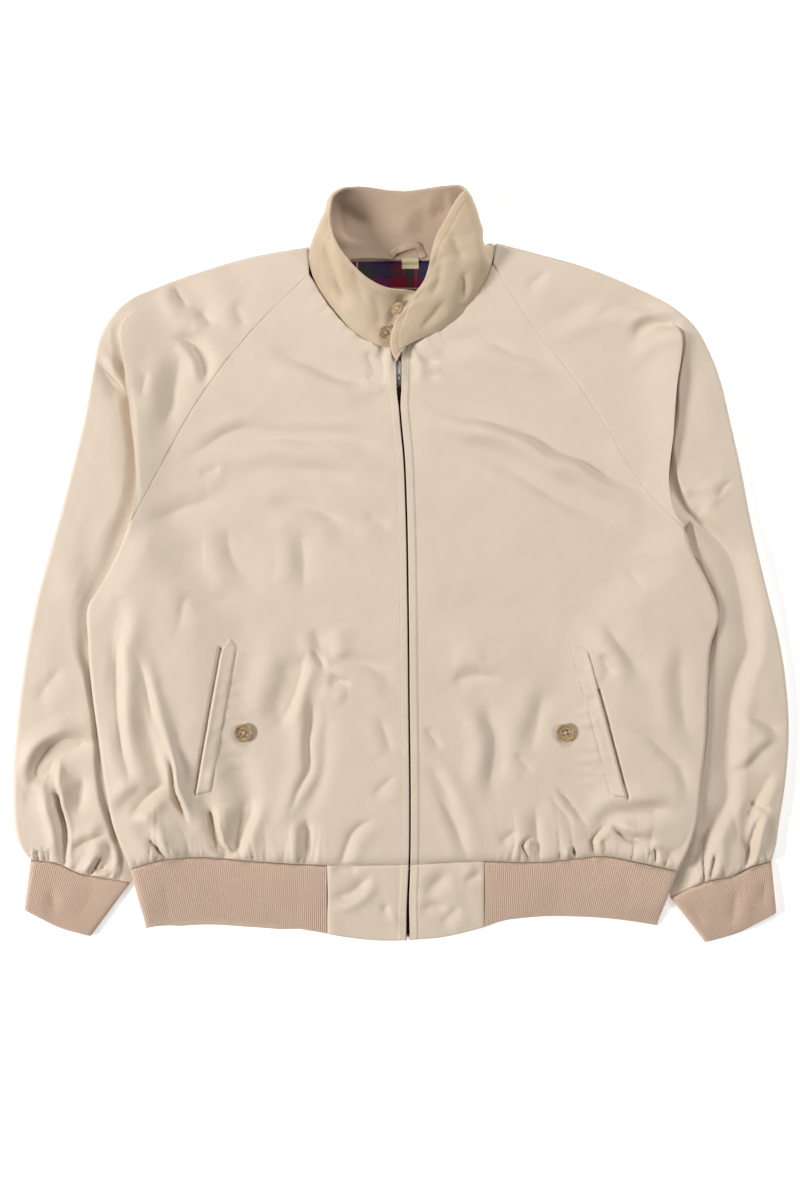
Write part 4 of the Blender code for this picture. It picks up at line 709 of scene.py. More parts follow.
def walled(name, points, material, thickness, rim=6, step=3):
    """A closed sheet: its face is the whole grid, its hidden side a coarser one that stays under it."""
    rows, columns = points.shape[:2]
    picked = [np.array([0, *range(rim, count - rim, step), count - 1]) for count in (rows, columns)]
    z = points[..., 2]
    for axis, keep in enumerate(picked):
        ends = [(keep[max(k - 1, 0)], keep[min(k + 1, len(keep) - 1)]) for k in range(len(keep))]
        low = [np.take(z, range(first, last + 1), axis=axis).min(axis=axis) for first, last in ends]
        z = np.stack(low, axis=axis)
    under = points[np.ix_(*picked)].copy()
    under[..., 2] = np.maximum(z - thickness, FLAT_FLOOR)
    face = np.arange(rows * columns).reshape(rows, columns)
    back = rows * columns + np.arange(under.shape[0] * under.shape[1]).reshape(under.shape[:2])
    faces = corners_of(face).reshape(-1, 4).tolist() + corners_of(back).reshape(-1, 4)[:, ::-1].tolist()
    rims = (
        (face[0], back[0], picked[1]),
        (face[-1, ::-1], back[-1, ::-1], columns - 1 - picked[1][::-1]),
        (face[::-1, 0], back[::-1, 0], rows - 1 - picked[0][::-1]),
        (face[:, -1], back[:, -1], picked[0]),
    )
    for fine, coarse, keep in rims:
        for k in range(len(keep) - 1):
            faces.append([*fine[keep[k]:keep[k + 1] + 1][::-1].tolist(), int(coarse[k]), int(coarse[k + 1])])
    obj = mesh_object(name, np.concatenate([points.reshape(-1, 3), under.reshape(-1, 3)]), faces, material)
    cloth = cloth_map(points)
    uv = np.concatenate([cloth.reshape(-1, 2), cloth[np.ix_(*picked)].reshape(-1, 2)])
    corner = np.zeros(len(obj.data.loops), dtype=np.int32)
    obj.data.loops.foreach_get("vertex_index", corner)
    layer = obj.data.uv_layers.new(name="cloth")
    layer.data.foreach_set("uv", uv[corner].reshape(-1).astype(np.float32))
    if sum(polygon.normal.z for polygon in obj.data.polygons[:200]) < 0:
        obj.data.flip_normals()
    return obj


def apply_modifiers(obj):
    bpy.context.view_layer.objects.active = obj
    obj.select_set(True)
    for modifier in list(obj.modifiers):
        bpy.ops.object.modifier_apply(modifier=modifier.name)
    obj.select_set(False)


def thickened(obj, thickness):
    """Cloth with a wall: its faces are the outside."""
    wall = obj.modifiers.new("wall", "SOLIDIFY")
    wall.thickness = thickness * MM
    wall.offset = -1
    apply_modifiers(obj)
    return obj


def placed(obj, slot, *nodes, body="jacket"):
    """The piece rides on its body and stands for its nodes."""
    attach(obj, body)
    if nodes:
        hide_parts(*nodes)
    return obj


# What a sheet is made of: the end of its name, its finish and its slot
TWILL, KNIT = ("cloth", "twill", "cotton_twill"), ("knit", "rib", "rib_knit")


def sheet(node, points, cloth, wall, ring=False):
    """A sheet in place of its node, from its grid of points."""
    ending, look, slot = cloth
    obj = grid_object(f"{node}_{ending}", points, finish(look), ring)
    thickened(obj, wall)
    placed(obj, slot, node)
    return declared(obj, closed_ring(points) if ring else points)


def panel(node, points, wall):
    """A large sheet of twill in place of its node."""
    obj = walled(f"{node}_cloth", points, finish("twill"), wall)
    placed(obj, "cotton_twill", node)
    return declared(obj, points)


def area_of(points):
    """The area of a grid of points, in square metres."""
    a, b = points[1:, :-1] - points[:-1, :-1], points[:-1, 1:] - points[:-1, :-1]
    return float(np.linalg.norm(np.cross(a, b), axis=2).sum()) * MM * MM


def declared(obj, points, trims=()):
    """Measures a laid sheet of cloth by its own grid, across, along and in area, and hands the object back
    unchanged.
    """
    across = np.linalg.norm(np.diff(points, axis=1), axis=2).sum(axis=1).max() * MM
    along = np.linalg.norm(np.diff(points, axis=0), axis=2).sum(axis=0).max() * MM
    area = min(area_of(points), across * along)
    return obj


def seam_relief(line, x, y, depth, width, pucker, seed, pitch=9.0, reach=9.0):
    """A seam's groove, and the small puckers that run from it."""
    distance, run = nearest(line, x, y)
    d = np.abs(distance)
    row = np.zeros_like(run) + seed
    wave = noise(run / pitch, row, 21) + 0.5 * noise(run / (pitch * 0.45), row, 22)
    return -depth * bell(d, width) + pucker * wave * bell(d, reach) * ease(d / 1.5)


def gathers(run, distance, rise, pitch, reach, seed):
    """Ruffles that a gathered seam draws a cloth into: plump between tight pleats, fading from the seam."""
    row = np.zeros_like(run) + seed
    lean = 0.35 * distance * noise(run / 37, row, 34)
    cell = (run + lean) / pitch + 0.7 * noise(run / 26, row, 31)
    here = np.floor(cell)
    length = reach * (1 + 0.6 * noise(here * 0.77, row + 5, 32))
    size = 0.7 + 0.7 * noise(here * 1.7, row, 33)
    ridge = np.abs(np.sin(np.pi * cell)) ** 0.5 - 0.7
    return rise * size * ridge * np.exp(-(np.abs(distance / length) ** 1.6))


def gathered(run, distance, rows, seed):
    """Broad ruffles and the fine ones between them."""
    return sum(gathers(run, distance, *row, seed + 2 * k) for k, row in enumerate(rows))


# Shader expressions

class Term:
    """A socket of a shader. Arithmetic on it adds Math nodes."""

    def __init__(self, shader, socket):
        self.shader, self.socket = shader, socket

    def math(self, operation, *others):
        return self.shader.node("Math", {"operation": operation}, self, *others)

    def __add__(self, other):
        return self.math("ADD", other)

    def __sub__(self, other):
        return self.math("SUBTRACT", other)

    def __rsub__(self, other):
        return self.shader.node("Math", {"operation": "SUBTRACT"}, other, self)

    def __mul__(self, other):
        return self.math("MULTIPLY", other)

    def __truediv__(self, other):
        return self.math("DIVIDE", other)

    def __gt__(self, other):
        return self.math("GREATER_THAN", other)

    __radd__, __rmul__ = __add__, __mul__


class Shader:
    """A material whose node graph is written as expressions. Fixed values go on the Principled shader."""

    def __init__(self, name, **fixed):
        self.material = bpy.data.materials.new(name)
        self.material.use_nodes = True
        self.tree = self.material.node_tree
        self.principled = self.tree.nodes["Principled BSDF"]
        for key, value in fixed.items():
            self.principled.inputs[key.replace("_", " ")].default_value = value

    def node(self, kind, settings=None, *values, output=0, **named):
        """A node of a kind: its settings, then its sockets' values or terms in order or by name."""
        made = self.tree.nodes.new("ShaderNode" + kind)
        for key, value in (settings or {}).items():
            if key == "stops":
                self.ramp(made.color_ramp, value)
            else:
                setattr(made, key, value)
        sockets = [(made.inputs[k], value) for k, value in enumerate(values)]
        sockets += [(made.inputs[key.replace("_", " ")], value) for key, value in named.items()]
        for socket, value in sockets:
            if isinstance(value, Term):
                self.tree.links.new(value.socket, socket)
            else:
                socket.default_value = value
        return Term(self, made.outputs[output])

    def ramp(self, ramp, stops):
        while len(ramp.elements) < len(stops):
            ramp.elements.new(0.5)
        for element, (place, colour) in zip(ramp.elements, stops):
            element.position, element.color = place, (*colour, 1)

    def place(self, name="UV"):
        """Where a point is: on the cloth's own UV map, or in the frame."""
        return self.node("TexCoord", output=name)

    def moved(self, vector, turn=0.0, scale=(1, 1, 1), shift=(0, 0, 0)):
        return self.node("Mapping", None, vector, shift, (0, 0, turn), scale)

    def parts(self, vector):
        split = self.node("SeparateXYZ", None, vector).socket.node
        return [Term(self, split.outputs[k]) for k in range(3)]

    def noise(self, vector, size, detail=2.0, rough=0.5):
        """Noise from 0 to 1, its size in metres."""
        return self.node("TexNoise", None, Vector=vector, Scale=1 / size, Detail=detail, Roughness=rough)

    def mix(self, factor, first, second, blend="MIX"):
        made = self.tree.nodes.new("ShaderNodeMix")
        made.data_type, made.blend_type = "RGBA", blend
        for socket, value in ((made.inputs[0], factor), (made.inputs[6], first), (made.inputs[7], second)):
            if isinstance(value, Term):
                self.tree.links.new(value.socket, socket)
            else:
                socket.default_value = value if isinstance(value, (int, float)) else (*value[:3], 1)
        return Term(self, made.outputs[2])

    def feed(self, **links):
        for key, term in links.items():
            self.tree.links.new(term.socket, self.principled.inputs[key.replace("_", " ")])
        return self.material

    def bump(self, height, depth, strength=1.0):
        """A bump of a height from 0 to 1 that stands for a depth in metres."""
        return self.node("Bump", None, Strength=strength, Distance=depth, Height=height)


def linear(red, green, blue):
    """A colour as seen on a screen, 0 to 255, as the shader's linear values."""
    return tuple(((v / 255 + 0.055) / 1.055) ** 2.4 for v in (red, green, blue))


def darker(colour, share):
    return tuple(v * share for v in colour[:3])


def twill_cloth(name, colour, pitch):
    """Fine cotton twill with a soft sheen: slanting wales and a slightly uneven dye."""
    shader = Shader(name, Roughness=0.62, Sheen_Weight=0.18, Sheen_Roughness=0.45, Specular_IOR_Level=0.34)
    weave = shader.place()
    u, v, _ = shader.parts(weave)
    across = (u + v * 0.62) * (2 * math.pi / pitch)
    along = (v - u * 0.62) * (2 * math.pi / (pitch * 0.72))
    wale = across.math("SINE") * 0.5 + 0.5
    thread = along.math("SINE") * 0.5 + 0.5
    slub = shader.noise(shader.moved(weave, scale=(1, 0.18, 1)), 0.004, detail=3)
    cloud = shader.noise(weave, 0.06, detail=3)
    grain = shader.noise(weave, 0.0012, detail=2)
    tone = 0.955 + 0.05 * cloud + 0.035 * slub + 0.02 * wale
    dark, light = darker(colour, 0.9), darker(colour, 1.06)
    base = shader.mix((tone - 0.955) / 0.105, dark, light)
    height = wale * (0.6 + 0.4 * thread) * 0.7 + 0.3 * grain
    return shader.feed(
        Base_Color=base,
        Roughness=0.54 + 0.16 * slub,
        Normal=shader.bump(height, 0.00012, 0.55),
    )


def rib_cloth(name, colour):
    """Ribbed knit: its ribs are in the mesh, and the small stitches along each rib are bump."""
    shader = Shader(name, Roughness=0.9, Sheen_Weight=0.25, Sheen_Roughness=0.6, Specular_IOR_Level=0.2)
    yarn = shader.place()
    u, v, _ = shader.parts(yarn)
    phase = u * (2 * math.pi / (RIB_PITCH * MM))
    stitch = phase.math("SINE").math("ABSOLUTE") * 0.9 + v * (2 * math.pi / (1.5 * MM))
    slant = stitch.math("SINE") * 0.5 + 0.5
    fuzz = shader.noise(yarn, 0.0009, detail=3)
    cloud = shader.noise(yarn, 0.03, detail=2)
    base = shader.mix(0.5 * slant + 0.3 * fuzz + 0.2 * cloud, darker(colour, 0.86), darker(colour, 1.08))
    return shader.feed(Base_Color=base, Normal=shader.bump(0.7 * slant + 0.3 * fuzz, 0.00022, 0.6))


def tartan_cloth(name, red, navy, green, pale):
    """A check of dark red, navy and green grounds with thin pale and red lines, woven in twill."""
    shader = Shader(name, Roughness=0.88, Sheen_Weight=0.15, Specular_IOR_Level=0.2)
    cloth = shader.place("Object")
    x, y, _ = shader.parts(cloth)
    sett = 0.096

    def bands(place, shift):
        share = ((place + shift) / sett).math("FRACT")
        return shader.node("ValToRGB", {"stops": [
            (0.0, red), (0.13, red), (0.135, green), (0.27, green), (0.275, navy), (0.47, navy), (0.475, red),
            (0.62, red), (0.625, green), (0.74, green), (0.745, navy), (0.99, navy), (0.995, red)]}, share)

    def lines(place, shift, width):
        share = ((place + shift) / sett).math("FRACT")
        return ((share - 0.5).math("ABSOLUTE") * -1 + width / sett) > 0

    warp, weft = bands(x, 0.054), bands(y, 0.0636)
    over = ((x + y) * (1 / 0.0016)).math("FRACT") > 0.5
    ground = shader.mix(0.3 + 0.4 * over, warp, weft)
    pale_lines = lines(x, 0.091, 0.0008).math("MAXIMUM", lines(y, 0.062, 0.0008))
    red_lines = lines(x, 0.032, 0.0011).math("MAXIMUM", lines(y, 0.012, 0.0011))
    ground = shader.mix(red_lines * 0.7, ground, darker(red, 1.9))
    ground = shader.mix(pale_lines * 0.55, ground, pale)
    fuzz = shader.noise(cloth, 0.0012, detail=3)
    base = shader.mix(0.35 * fuzz, ground, darker(red, 0.4))
    return shader.feed(Base_Color=base, Normal=shader.bump(over * 0.5 + fuzz * 0.5, 0.0001, 0.5))


def horn(name, colour):
    """Polished imitation horn, mottled in layers."""
    shader = Shader(name, Roughness=0.3, Coat_Weight=0.4, Coat_Roughness=0.15)
    place = shader.place("Object")
    swirl = shader.noise(shader.moved(place, turn=0.6, scale=(1, 3.2, 1)), 0.006, detail=5, rough=0.6)
    base = shader.node("ValToRGB", {"stops": [
        (0.3, darker(colour, 0.45)), (0.48, darker(colour, 0.85)), (0.6, darker(colour, 1.15)),
        (0.75, darker(colour, 1.5))]}, swirl)
    return shader.feed(Base_Color=base, Roughness=0.22 + 0.25 * swirl)


def woven_tape(name, colour, pitch=0.9):
    """A narrow weave of small chevrons, its pitch in millimetres."""
    shader = Shader(name, Roughness=0.85, Specular_IOR_Level=0.25)
    x, y, _ = shader.parts(shader.place("Object"))
    chevron = ((x * (1 / 0.004)).math("PINGPONG", 0.5) + y * (1 / (pitch * MM))).math("FRACT")
    base = shader.mix(chevron, darker(colour, 0.75), darker(colour, 1.2))
    return shader.feed(Base_Color=base, Normal=shader.bump(chevron, 0.00015, 0.5))


def metal(name, colour, roughness):
    """Plated metal with fine handling marks."""
    shader = Shader(name, Metallic=1.0)
    place = shader.place("Object")
    marks = shader.noise(shader.moved(place, scale=(1, 6, 1)), 0.002, detail=4)
    base = shader.mix(marks, darker(colour, 0.82), colour)
    return shader.feed(Base_Color=base, Roughness=roughness - 0.1 + 0.25 * marks)


def thread_finish(name, colour):
    """Twisted sewing thread."""
    shader = Shader(name, Roughness=0.6, Sheen_Weight=0.3)
    twist = shader.noise(shader.place("Object"), 0.0006, detail=2)
    base = shader.mix(twist, darker(colour, 0.82), darker(colour, 1.1))
    return shader.feed(Base_Color=base)


# Fronts

FRONT_COLUMNS = steps_between(0, (0.055, 15), (0.955, 174), (1.0, 17))
SIDE_ROWS, RAGLAN_ROWS = 180, 146
HEM_RUFFLES = [(4.4, 17, 23), (2.0, 7, 8)]  # rise, distance apart and reach
OPENING_DEPTH, OPENING_WIDTH = 4.6, 1.3  # the slit that a pocket's welt leaves
WELT_SLANT = 2.5  # how far down the welt's sewn edge lies from its free one
ZIP_STITCH = 7.2  # from a front's folded edge to its row of stitches

# How edges are turned down: steps outward and down
SEAM_TURN = [(0.25, 0.5), (0.3, 1.1), (0.2, 1.8)]
ZIP_TURN = [(0.45, 0.4), (0.55, 1.0), (0.3, 1.6), (-0.6, 1.9), (-5, 2.0)]
OUTLINE_TURN = [(0.5, 0.5), (0.75, 1.2), (0.7, 1.9), (0.3, 2.4)]
RIB_HEM_TURN = [(0.5, 0.7), (0.8, 1.6), (0.6, 2.4), (-0.4, 3.0)]
RIB_END_TURN = [(0.5, 0.7), (0.5, 1.4)]
BACK_RIB_TURN = [(0.4, 0.4), (0.4, 0.8)]
TAB_HEM_TURN = [(0.5, 0.5), (0.8, 1.3), (0.7, 2.1), (0.1, 2.8), (-4, 3.2)]
TAB_ZIP_TURN = [(0.4, 0.4), (0.5, 1.0), (0.3, 1.6), (-0.6, 1.9)]
WELT_TURN = [(0.4, 0.4), (0.5, 1.0), (0.2, 1.6)]
# The same at a front's side: steps outward, down where it is sewn, and down where it rolls under
SIDE_TURN = [(0.35, 0.5, 0.7), (0.45, 1.1, 1.7), (0.2, 1.7, 2.8), (-0.6, 2.2, 3.6)]


def front_plan(side):
    """A front in plan: columns run from the side to the zip, rows from the hem to the neck."""
    across = FRONT_COLUMNS[:, None]
    side_part = at_share(SIDES[side], np.linspace(0, 1, SIDE_ROWS))
    raglan_part = at_share(RAGLANS[side], np.linspace(0, 1, RAGLAN_ROWS)[1:])
    edge = np.vstack([side_part, raglan_part])
    up = lengths_of(edge) / lengths_of(edge)[-1]
    zip_y = ZIP_BOTTOM + (NECKS[side][-1][1] - SEAM_GAP - ZIP_BOTTOM) * up
    zip_edge = np.column_stack([x_at(ZIP, zip_y) + OUTWARD[side] * slit(zip_y), zip_y])
    hem_x = edge[0, 0] + (zip_edge[0, 0] - edge[0, 0]) * FRONT_COLUMNS
    hem = np.column_stack([hem_x, y_at(SEAM, hem_x)])
    neck = at_share(NECKS[side], FRONT_COLUMNS)
    hem = hem - hem[0] * (1 - across) - hem[-1] * across
    neck = neck - neck[0] * (1 - across) - neck[-1] * across
    grid = (edge[:, None] * (1 - across) + zip_edge[:, None] * across
            + hem * ((1 - up) ** 3)[:, None, None] + neck * (up**3)[:, None, None])
    return grid, zip_edge


def hem_fullness(side, x, y):
    """What the gathers over the waistband add: a soft roll all along, and ruffles over the rib."""
    out = OUTWARD[side]
    from_hem = y - y_at(SEAM, x)
    full = 1.2 * quarter_round(from_hem / 10) * (1 - ease(from_hem / 40))
    beyond_tab = (x - TAB_END[side]) * out
    ribbed = ease(np.abs(x - TAB_END[side] - out * 4) / 8) * (beyond_tab > 0)
    ruffle = gathered(x, from_hem, HEM_RUFFLES, 2 + out)
    return (full + ruffle * ribbed * (0.35 + 0.65 * ease(from_hem / 5))) * side_rim(x, y)


def front_points(side):
    """A front's top, with seams, gathers, zip strip and pocket opening worked into it."""
    out = OUTWARD[side]
    grid, zip_edge = front_plan(side)
    x, y = grid[..., 0], grid[..., 1]
    z = body_top(x, y) + hem_fullness(side, x, y)
    from_zip = np.abs(x - zip_edge[:, None, 0])
    z = smooth_max(z, ZIP_CLEAR + SHELL - 1.6 * ease((from_zip - TAPE_WIDTH + 3) / 22))
    strip = 1.0 if side == "left" else 0.45 + 0.45 * ease((y - 100) / 60)
    z = z + strip * (0.8 * ease((8.5 - from_zip) / 1.6) - 0.55 * bell(from_zip - ZIP_STITCH, 0.8))
    row = from_zip * 0 + out
    drag = noise(y / 13, row, 41) + 0.6 * noise(y / 6, row, 42)
    z = z + 0.3 * strip * drag * bell(from_zip, 11)
    for line, depth, width, pucker in ((RAGLANS[side], 0.3, 0.9, 0.22), (NECKS[side], 1.0, 1.3, 0.9)):
        z = z + seam_relief(line[::4], x, y, depth=depth, width=width, pucker=pucker, seed=out)
    top, low = (np.array(end) for end in POCKET[side])
    start = top + (low - top) * (0.27 if side == "left" else 0.0)
    opening = np.linspace(start + (out * 1.4, 0), low + (out * 1.4, 0), 12)
    z = z - OPENING_DEPTH * bell(nearest(opening, x, y)[0], OPENING_WIDTH)
    sewn = np.linspace(top - (out * WELT_WIDTH, -WELT_SLANT), low - (out * WELT_WIDTH, -WELT_SLANT), 12)
    z = z + seam_relief(sewn, x, y, depth=0.4, width=1.0, pucker=0.8, pitch=11, reach=9, seed=30 + out)
    return np.concatenate([grid, z[..., None]], axis=2)


def front_edges(points):
    """The front with its edges turned: rolled at the side, sewn at three edges, folded at the zip."""
    rolled = 1 - ease((np.arange(len(points)) - SIDE_ROWS + 12) / 10)
    side_turn = [(0.25 + out * rolled, sewn * (1 - rolled) + deep * rolled) for out, sewn, deep in SIDE_TURN]
    points = turn(points, 1, 0, side_turn)
    points = turn(points, 1, 1, ZIP_TURN)
    points = turn(points, 0, 0, SEAM_TURN)
    return turn(points, 0, 1, SEAM_TURN)


def sew_front(side):
    points = front_edges(front_points(side))
    return panel(f"front_{side}", points, 0.9)


# Sleeves

CAP_SHARES = steps_between(0, (0.12, 7), (0.88, 36), (1.0, 12))
ARM_SHARES = steps_between(0, (0.2, 18), (0.88, 36), (1.0, 14))[1:]
CAP_ROWS, ARM_ROWS = 166, 190
CUFF_RUFFLES = [(3.2, 15, 19), (1.8, 6, 7)]  # rise, distance apart and reach
SECTION_LENGTH = 28  # of an arm, between two sections near the cuff
STACK_DROP = 1.6  # how much thinner the arm is under the body, below the underarm


def sleeve_section(side, s):
    """The inner and outer end of a section in plan, its fold's share and its step down there."""
    line = SECTIONS[side]
    row = np.array([np.interp(s * SECTION_STEPS, np.arange(len(line)), column) for column in line.T])
    inner, outer = row[:2].copy(), row[2:4]
    if s <= ARM_SECTIONS - 1:
        inner = at_share(RAGLANS[side], 1 - s / (ARM_SECTIONS - 1))
    return inner, outer, row[4], row[5]


def cuff_bow(side, share):
    return np.interp(share, *np.array(CUFF_SEAM[side]).T)


def arm_height(side, x, y, wander_x, wander_y, beyond):
    """An arm's top before its ends are worked, and how freely it stands off the body's edge."""
    rise_y, rise_from, rise_width = smooth_line(ARM_RISE[side], steps=6)[::-1].T
    valley = np.interp(y, rise_y, rise_from)
    free = ease((beyond + wander_x - x - valley) / np.interp(y, rise_y, rise_width))
    climb = 1 - np.clip(beyond / np.maximum(valley, 1), 0, 1) ** 2
    lean = climb * np.clip(1 + beyond / 9, 0, 1) * ease((valley - 6) / 8)
    fold = FOLD_RISE * folds_height(ARM_FOLDS, wander_x, wander_y)
    fold = fold + CREASE_RISE * creases_height(ARM_CREASES, wander_x, wander_y)
    ripple = 0.5 * noise(x / 22, y / 30, 7) + 0.2 * noise(x / 9, y / 12, 8)
    return ARM_REST + ARM_LEAN * lean + (ARM_PUFF[side] + fold + ripple) * free, free


def sleeve_row(side, s, last):
    """One row of a sleeve front: the shoulder as far as its fold, then the arm, a step lower."""
    inner, outer, fold, step = sleeve_section(side, s)
    share = np.concatenate([fold * CAP_SHARES, fold + (1 - fold) * ARM_SHARES])
    x = inner[0] + (outer[0] - inner[0]) * share
    y = inner[1] + (outer[1] - inner[1]) * share + cuff_bow(side, share) * max(s - last + 1, 0)
    width = math.hypot(*(outer - inner))
    low = UNDER + PLY_GAP + 0.7
    from_outline = (1 - share) * width
    edge = 0.8 * quarter_round(from_outline / 4) + 0.2 * ease((from_outline + 4) / 30)
    beyond = (share - fold) * width
    below = max(s - ARM_SECTIONS + 1, 0)
    shoulder = low + (body_top(x, y) - low) * edge - STACK_DROP * min(below * 6, 1)
    arm, free = arm_height(side, x, y, *wander(x, y), beyond)
    from_cuff = (last - s) * SECTION_LENGTH
    hem = 1 - 0.75 * (1 - quarter_round(from_cuff / 12))
    ruffle = gathered(share * width, from_cuff, CUFF_RUFFLES, 8 + OUTWARD[side])
    arm = arm + ruffle * free * (0.3 + 0.7 * ease(from_cuff / 5))
    arm = low + (arm - low) * edge * hem
    if below:
        arm = np.minimum(arm, low + (ARM_REST - low) * quarter_round(share * width / 6) + 30 * share)
    drop = np.maximum(step * ease((beyond + 2 * min(below * 4, 1)) / 2.4), ease(below / 0.8))
    return np.column_stack([x, y, shoulder + (arm - shoulder) * drop])


def sleeve_points(side):
    """A sleeve front: rows run from the neck to the cuff, columns from the raglan seam to the outline."""
    last = len(SLEEVE[side]) - 1
    underarm = ARM_SECTIONS - 1
    sections = np.concatenate([np.linspace(0, underarm, CAP_ROWS), np.linspace(underarm, last, ARM_ROWS)[1:]])
    points = np.array([sleeve_row(side, s, last) for s in sections])
    x, y = points[..., 0], points[..., 1]
    relief = seam_relief(RAGLANS[side][::4], x, y, depth=0.3, width=0.9, pucker=0.25, seed=OUTWARD[side] + 9)
    points[..., 2] += ease((y - UNDERARM[side]) / 20) * relief
    return points


def sew_sleeve(side):
    points = sleeve_points(side)
    points = turn(points, 1, 0, SEAM_TURN)
    points = turn(points, 1, 1, OUTLINE_TURN)
    points = turn(points, 0, 1, SEAM_TURN)
    points = turn(points, 0, 0, SEAM_TURN)
    points[..., 2] = np.maximum(points[..., 2], 0.25)
    return panel(f"sleeve_front_{side}", points, 0.8)


# Ribs

RIB_STEPS = 6
BAND_ROWS = steps_between(0, (0.08, 4), (0.94, 12), (1.0, 4))
CUFF_ROWS = steps_between(0, (0.08, 4), (0.93, 12), (1.0, 4))
BACK_EDGE = [  # x, and how far the back strip's edge lies from the front strips' edge
    (-256, 1), (-220, -5.5), (-120, -4), (-80, 2), (100, 2), (240, 2), (260, 1)]


def rib_wave(ribs):
    """Shares along a knitted strip and the height of its ribs there: round tops and tight furrows."""
    share = np.linspace(0, 1, ribs * RIB_STEPS + 1)
    return share, 0.75 * np.abs(np.sin(math.pi * share * ribs)) ** 0.6


def knit_band(side):
    """A front strip of the waistband, from the cloth tab to the side."""
    start = TAB_END[side] + OUTWARD[side] * 0.2
    top_end, low_end = SIDE_EDGE[side][0][0], HEM_EDGE[0 if side == "right" else -1][0]
    shares, rib = rib_wave(round(abs(top_end - TAB_END[side]) / RIB_PITCH))
    rows = []
    for v in BAND_ROWS:
        end = top_end + (low_end - top_end) * v
        x = start + (end - start) * shares
        y = (y_at(SEAM, x) - 0.2) * (1 - v) + y_at(EDGE, x) * v
        rolled = quarter_round((1 - shares) * abs(end - start) / 8)
        over = SLEEVE_STACK * over_sleeve(x, y)
        z = UNDER + PLY_GAP + 0.4 + RIB_KNIT * (0.45 + 0.55 * rolled) + 1.5 * rolled * math.sin(math.pi * v)
        z = z + 0.5 * np.sin(shares * 9 + v) * rolled + 0.5 * noise(x / 30, y / 60, 51)
        z = z + creases_height(BAND_CREASES, x, y) * rolled
        sewn = quarter_round(v * RIB_DEPTH / 4) * 0.6 + 0.4
        fade = quarter_round(np.minimum(v, 1 - v) * RIB_DEPTH / 5)
        rows.append(np.column_stack([x, y, over + z * sewn + rib * (0.35 + 0.65 * fade) * rolled]))
    return np.array(rows)


def back_band():
    """The waistband's back strip, which peeks out below the front at the right."""
    (x_right, y_right), (x_left, y_left) = SIDE_EDGE["right"][0], SIDE_EDGE["left"][0]
    shares, rib = rib_wave(round((x_left - x_right) / RIB_PITCH))
    shares, rib = shares[::2], np.append(rib[1::2], 0)
    rows = []
    for v in (0, 0.5, 0.85, 0.95, 1.0):
        x = x_right + 14 * v + (x_left - 20 * v - x_right - 14 * v) * shares
        start = np.interp(x, [x_right, x_left], [y_right, y_left]) - 1
        edge = y_at(EDGE, x) + np.interp(x, *np.array(BACK_EDGE).T)
        y = start * (1 - v) + edge * v
        over = SLEEVE_STACK * over_sleeve(x, y)
        rows.append(np.column_stack([x, y, over + 1.35 + 0.6 * rib * min(1, (1 - v) * 12 + 0.4)]))
    return np.array(rows)


def cuff_ring(side):
    """A cuff as a flattened tube: over the top from inner to outer edge, and back underneath."""
    inner_end, outer_end, _, _ = sleeve_section(side, len(SLEEVE[side]) - 1)
    hand_in, hand_out = (np.array(p, float) for p in HAND[side])
    top_share, top_rib = rib_wave(round(math.hypot(*(outer_end - inner_end)) / RIB_PITCH))
    low_share, low_rib = top_share[::-1][1:-1:2], top_rib[::-1][1:-1:2]
    round_over = quarter_round(np.minimum(top_share, 1 - top_share) * 13)

    def layer(share, v, lip):
        a = inner_end + (outer_end - inner_end) * share[:, None]
        a[:, 1] += cuff_bow(side, share) - 0.3
        b = hand_in + (hand_out - hand_in) * share[:, None]
        b[:, 1] -= (3.0 + lip) * np.sin(math.pi * share)
        return a * (1 - v) + b * v

    rows = []
    for v in CUFF_ROWS:
        sewn = 0.45 + 0.55 * quarter_round(v * CUFF_DEPTH / 4)
        puff = 2.2 * math.sin(math.pi * min(v * 0.62, 0.5)) + 0.6
        height = CUFF_HEIGHT * (0.5 + 0.5 * round_over) + puff * round_over
        fade = quarter_round(min(v, 1 - v) * CUFF_DEPTH / 5)
        xy = layer(top_share, v, 0.0)
        wave = 0.7 * noise(xy[:, 0] / 24, xy[:, 1] / 40, 61) * round_over
        crease = CREASE_RISE * creases_height(CUFF_CREASES, *xy.T) * round_over
        height = np.maximum(height + wave + crease, 1.8)
        top = np.column_stack([xy, height * sewn + top_rib * (0.35 + 0.65 * fade) * round_over])
        low = np.column_stack([layer(low_share, v, 2.5), 0.75 - 0.6 * low_rib])
        rows.append(np.vstack([top, low]))
    return np.array(rows)


def sew_ribs():
    for side in OUTWARD:
        points = turn(knit_band(side), 0, 1, RIB_HEM_TURN)
        points = turn(points, 1, 1, RIB_END_TURN)
        points[..., 2] = np.maximum(points[..., 2], 0.9)
        sheet(f"waistband_rib_{side}", points, KNIT, 1.0)
    points = turn(back_band(), 0, 1, BACK_RIB_TURN)
    points[..., 2] = np.maximum(points[..., 2], 0.55)
    sheet("waistband_rib_back", points, KNIT, 0.5)


def sew_cuffs():
    for side in OUTWARD:
        sheet(f"cuff_{side}", cuff_ring(side), KNIT, 0.9, ring=True)


# Cloth tabs at the zip

TAB_ROWS = steps_between(0, (0.08, 4), (0.92, 20), (1.0, 5))
TAB_COLUMNS = steps_between(0, (0.14, 14), (0.95, 28), (1.0, 4))
TAB_STITCH = 7.5  # from the tab's folded edge to its row of stitches


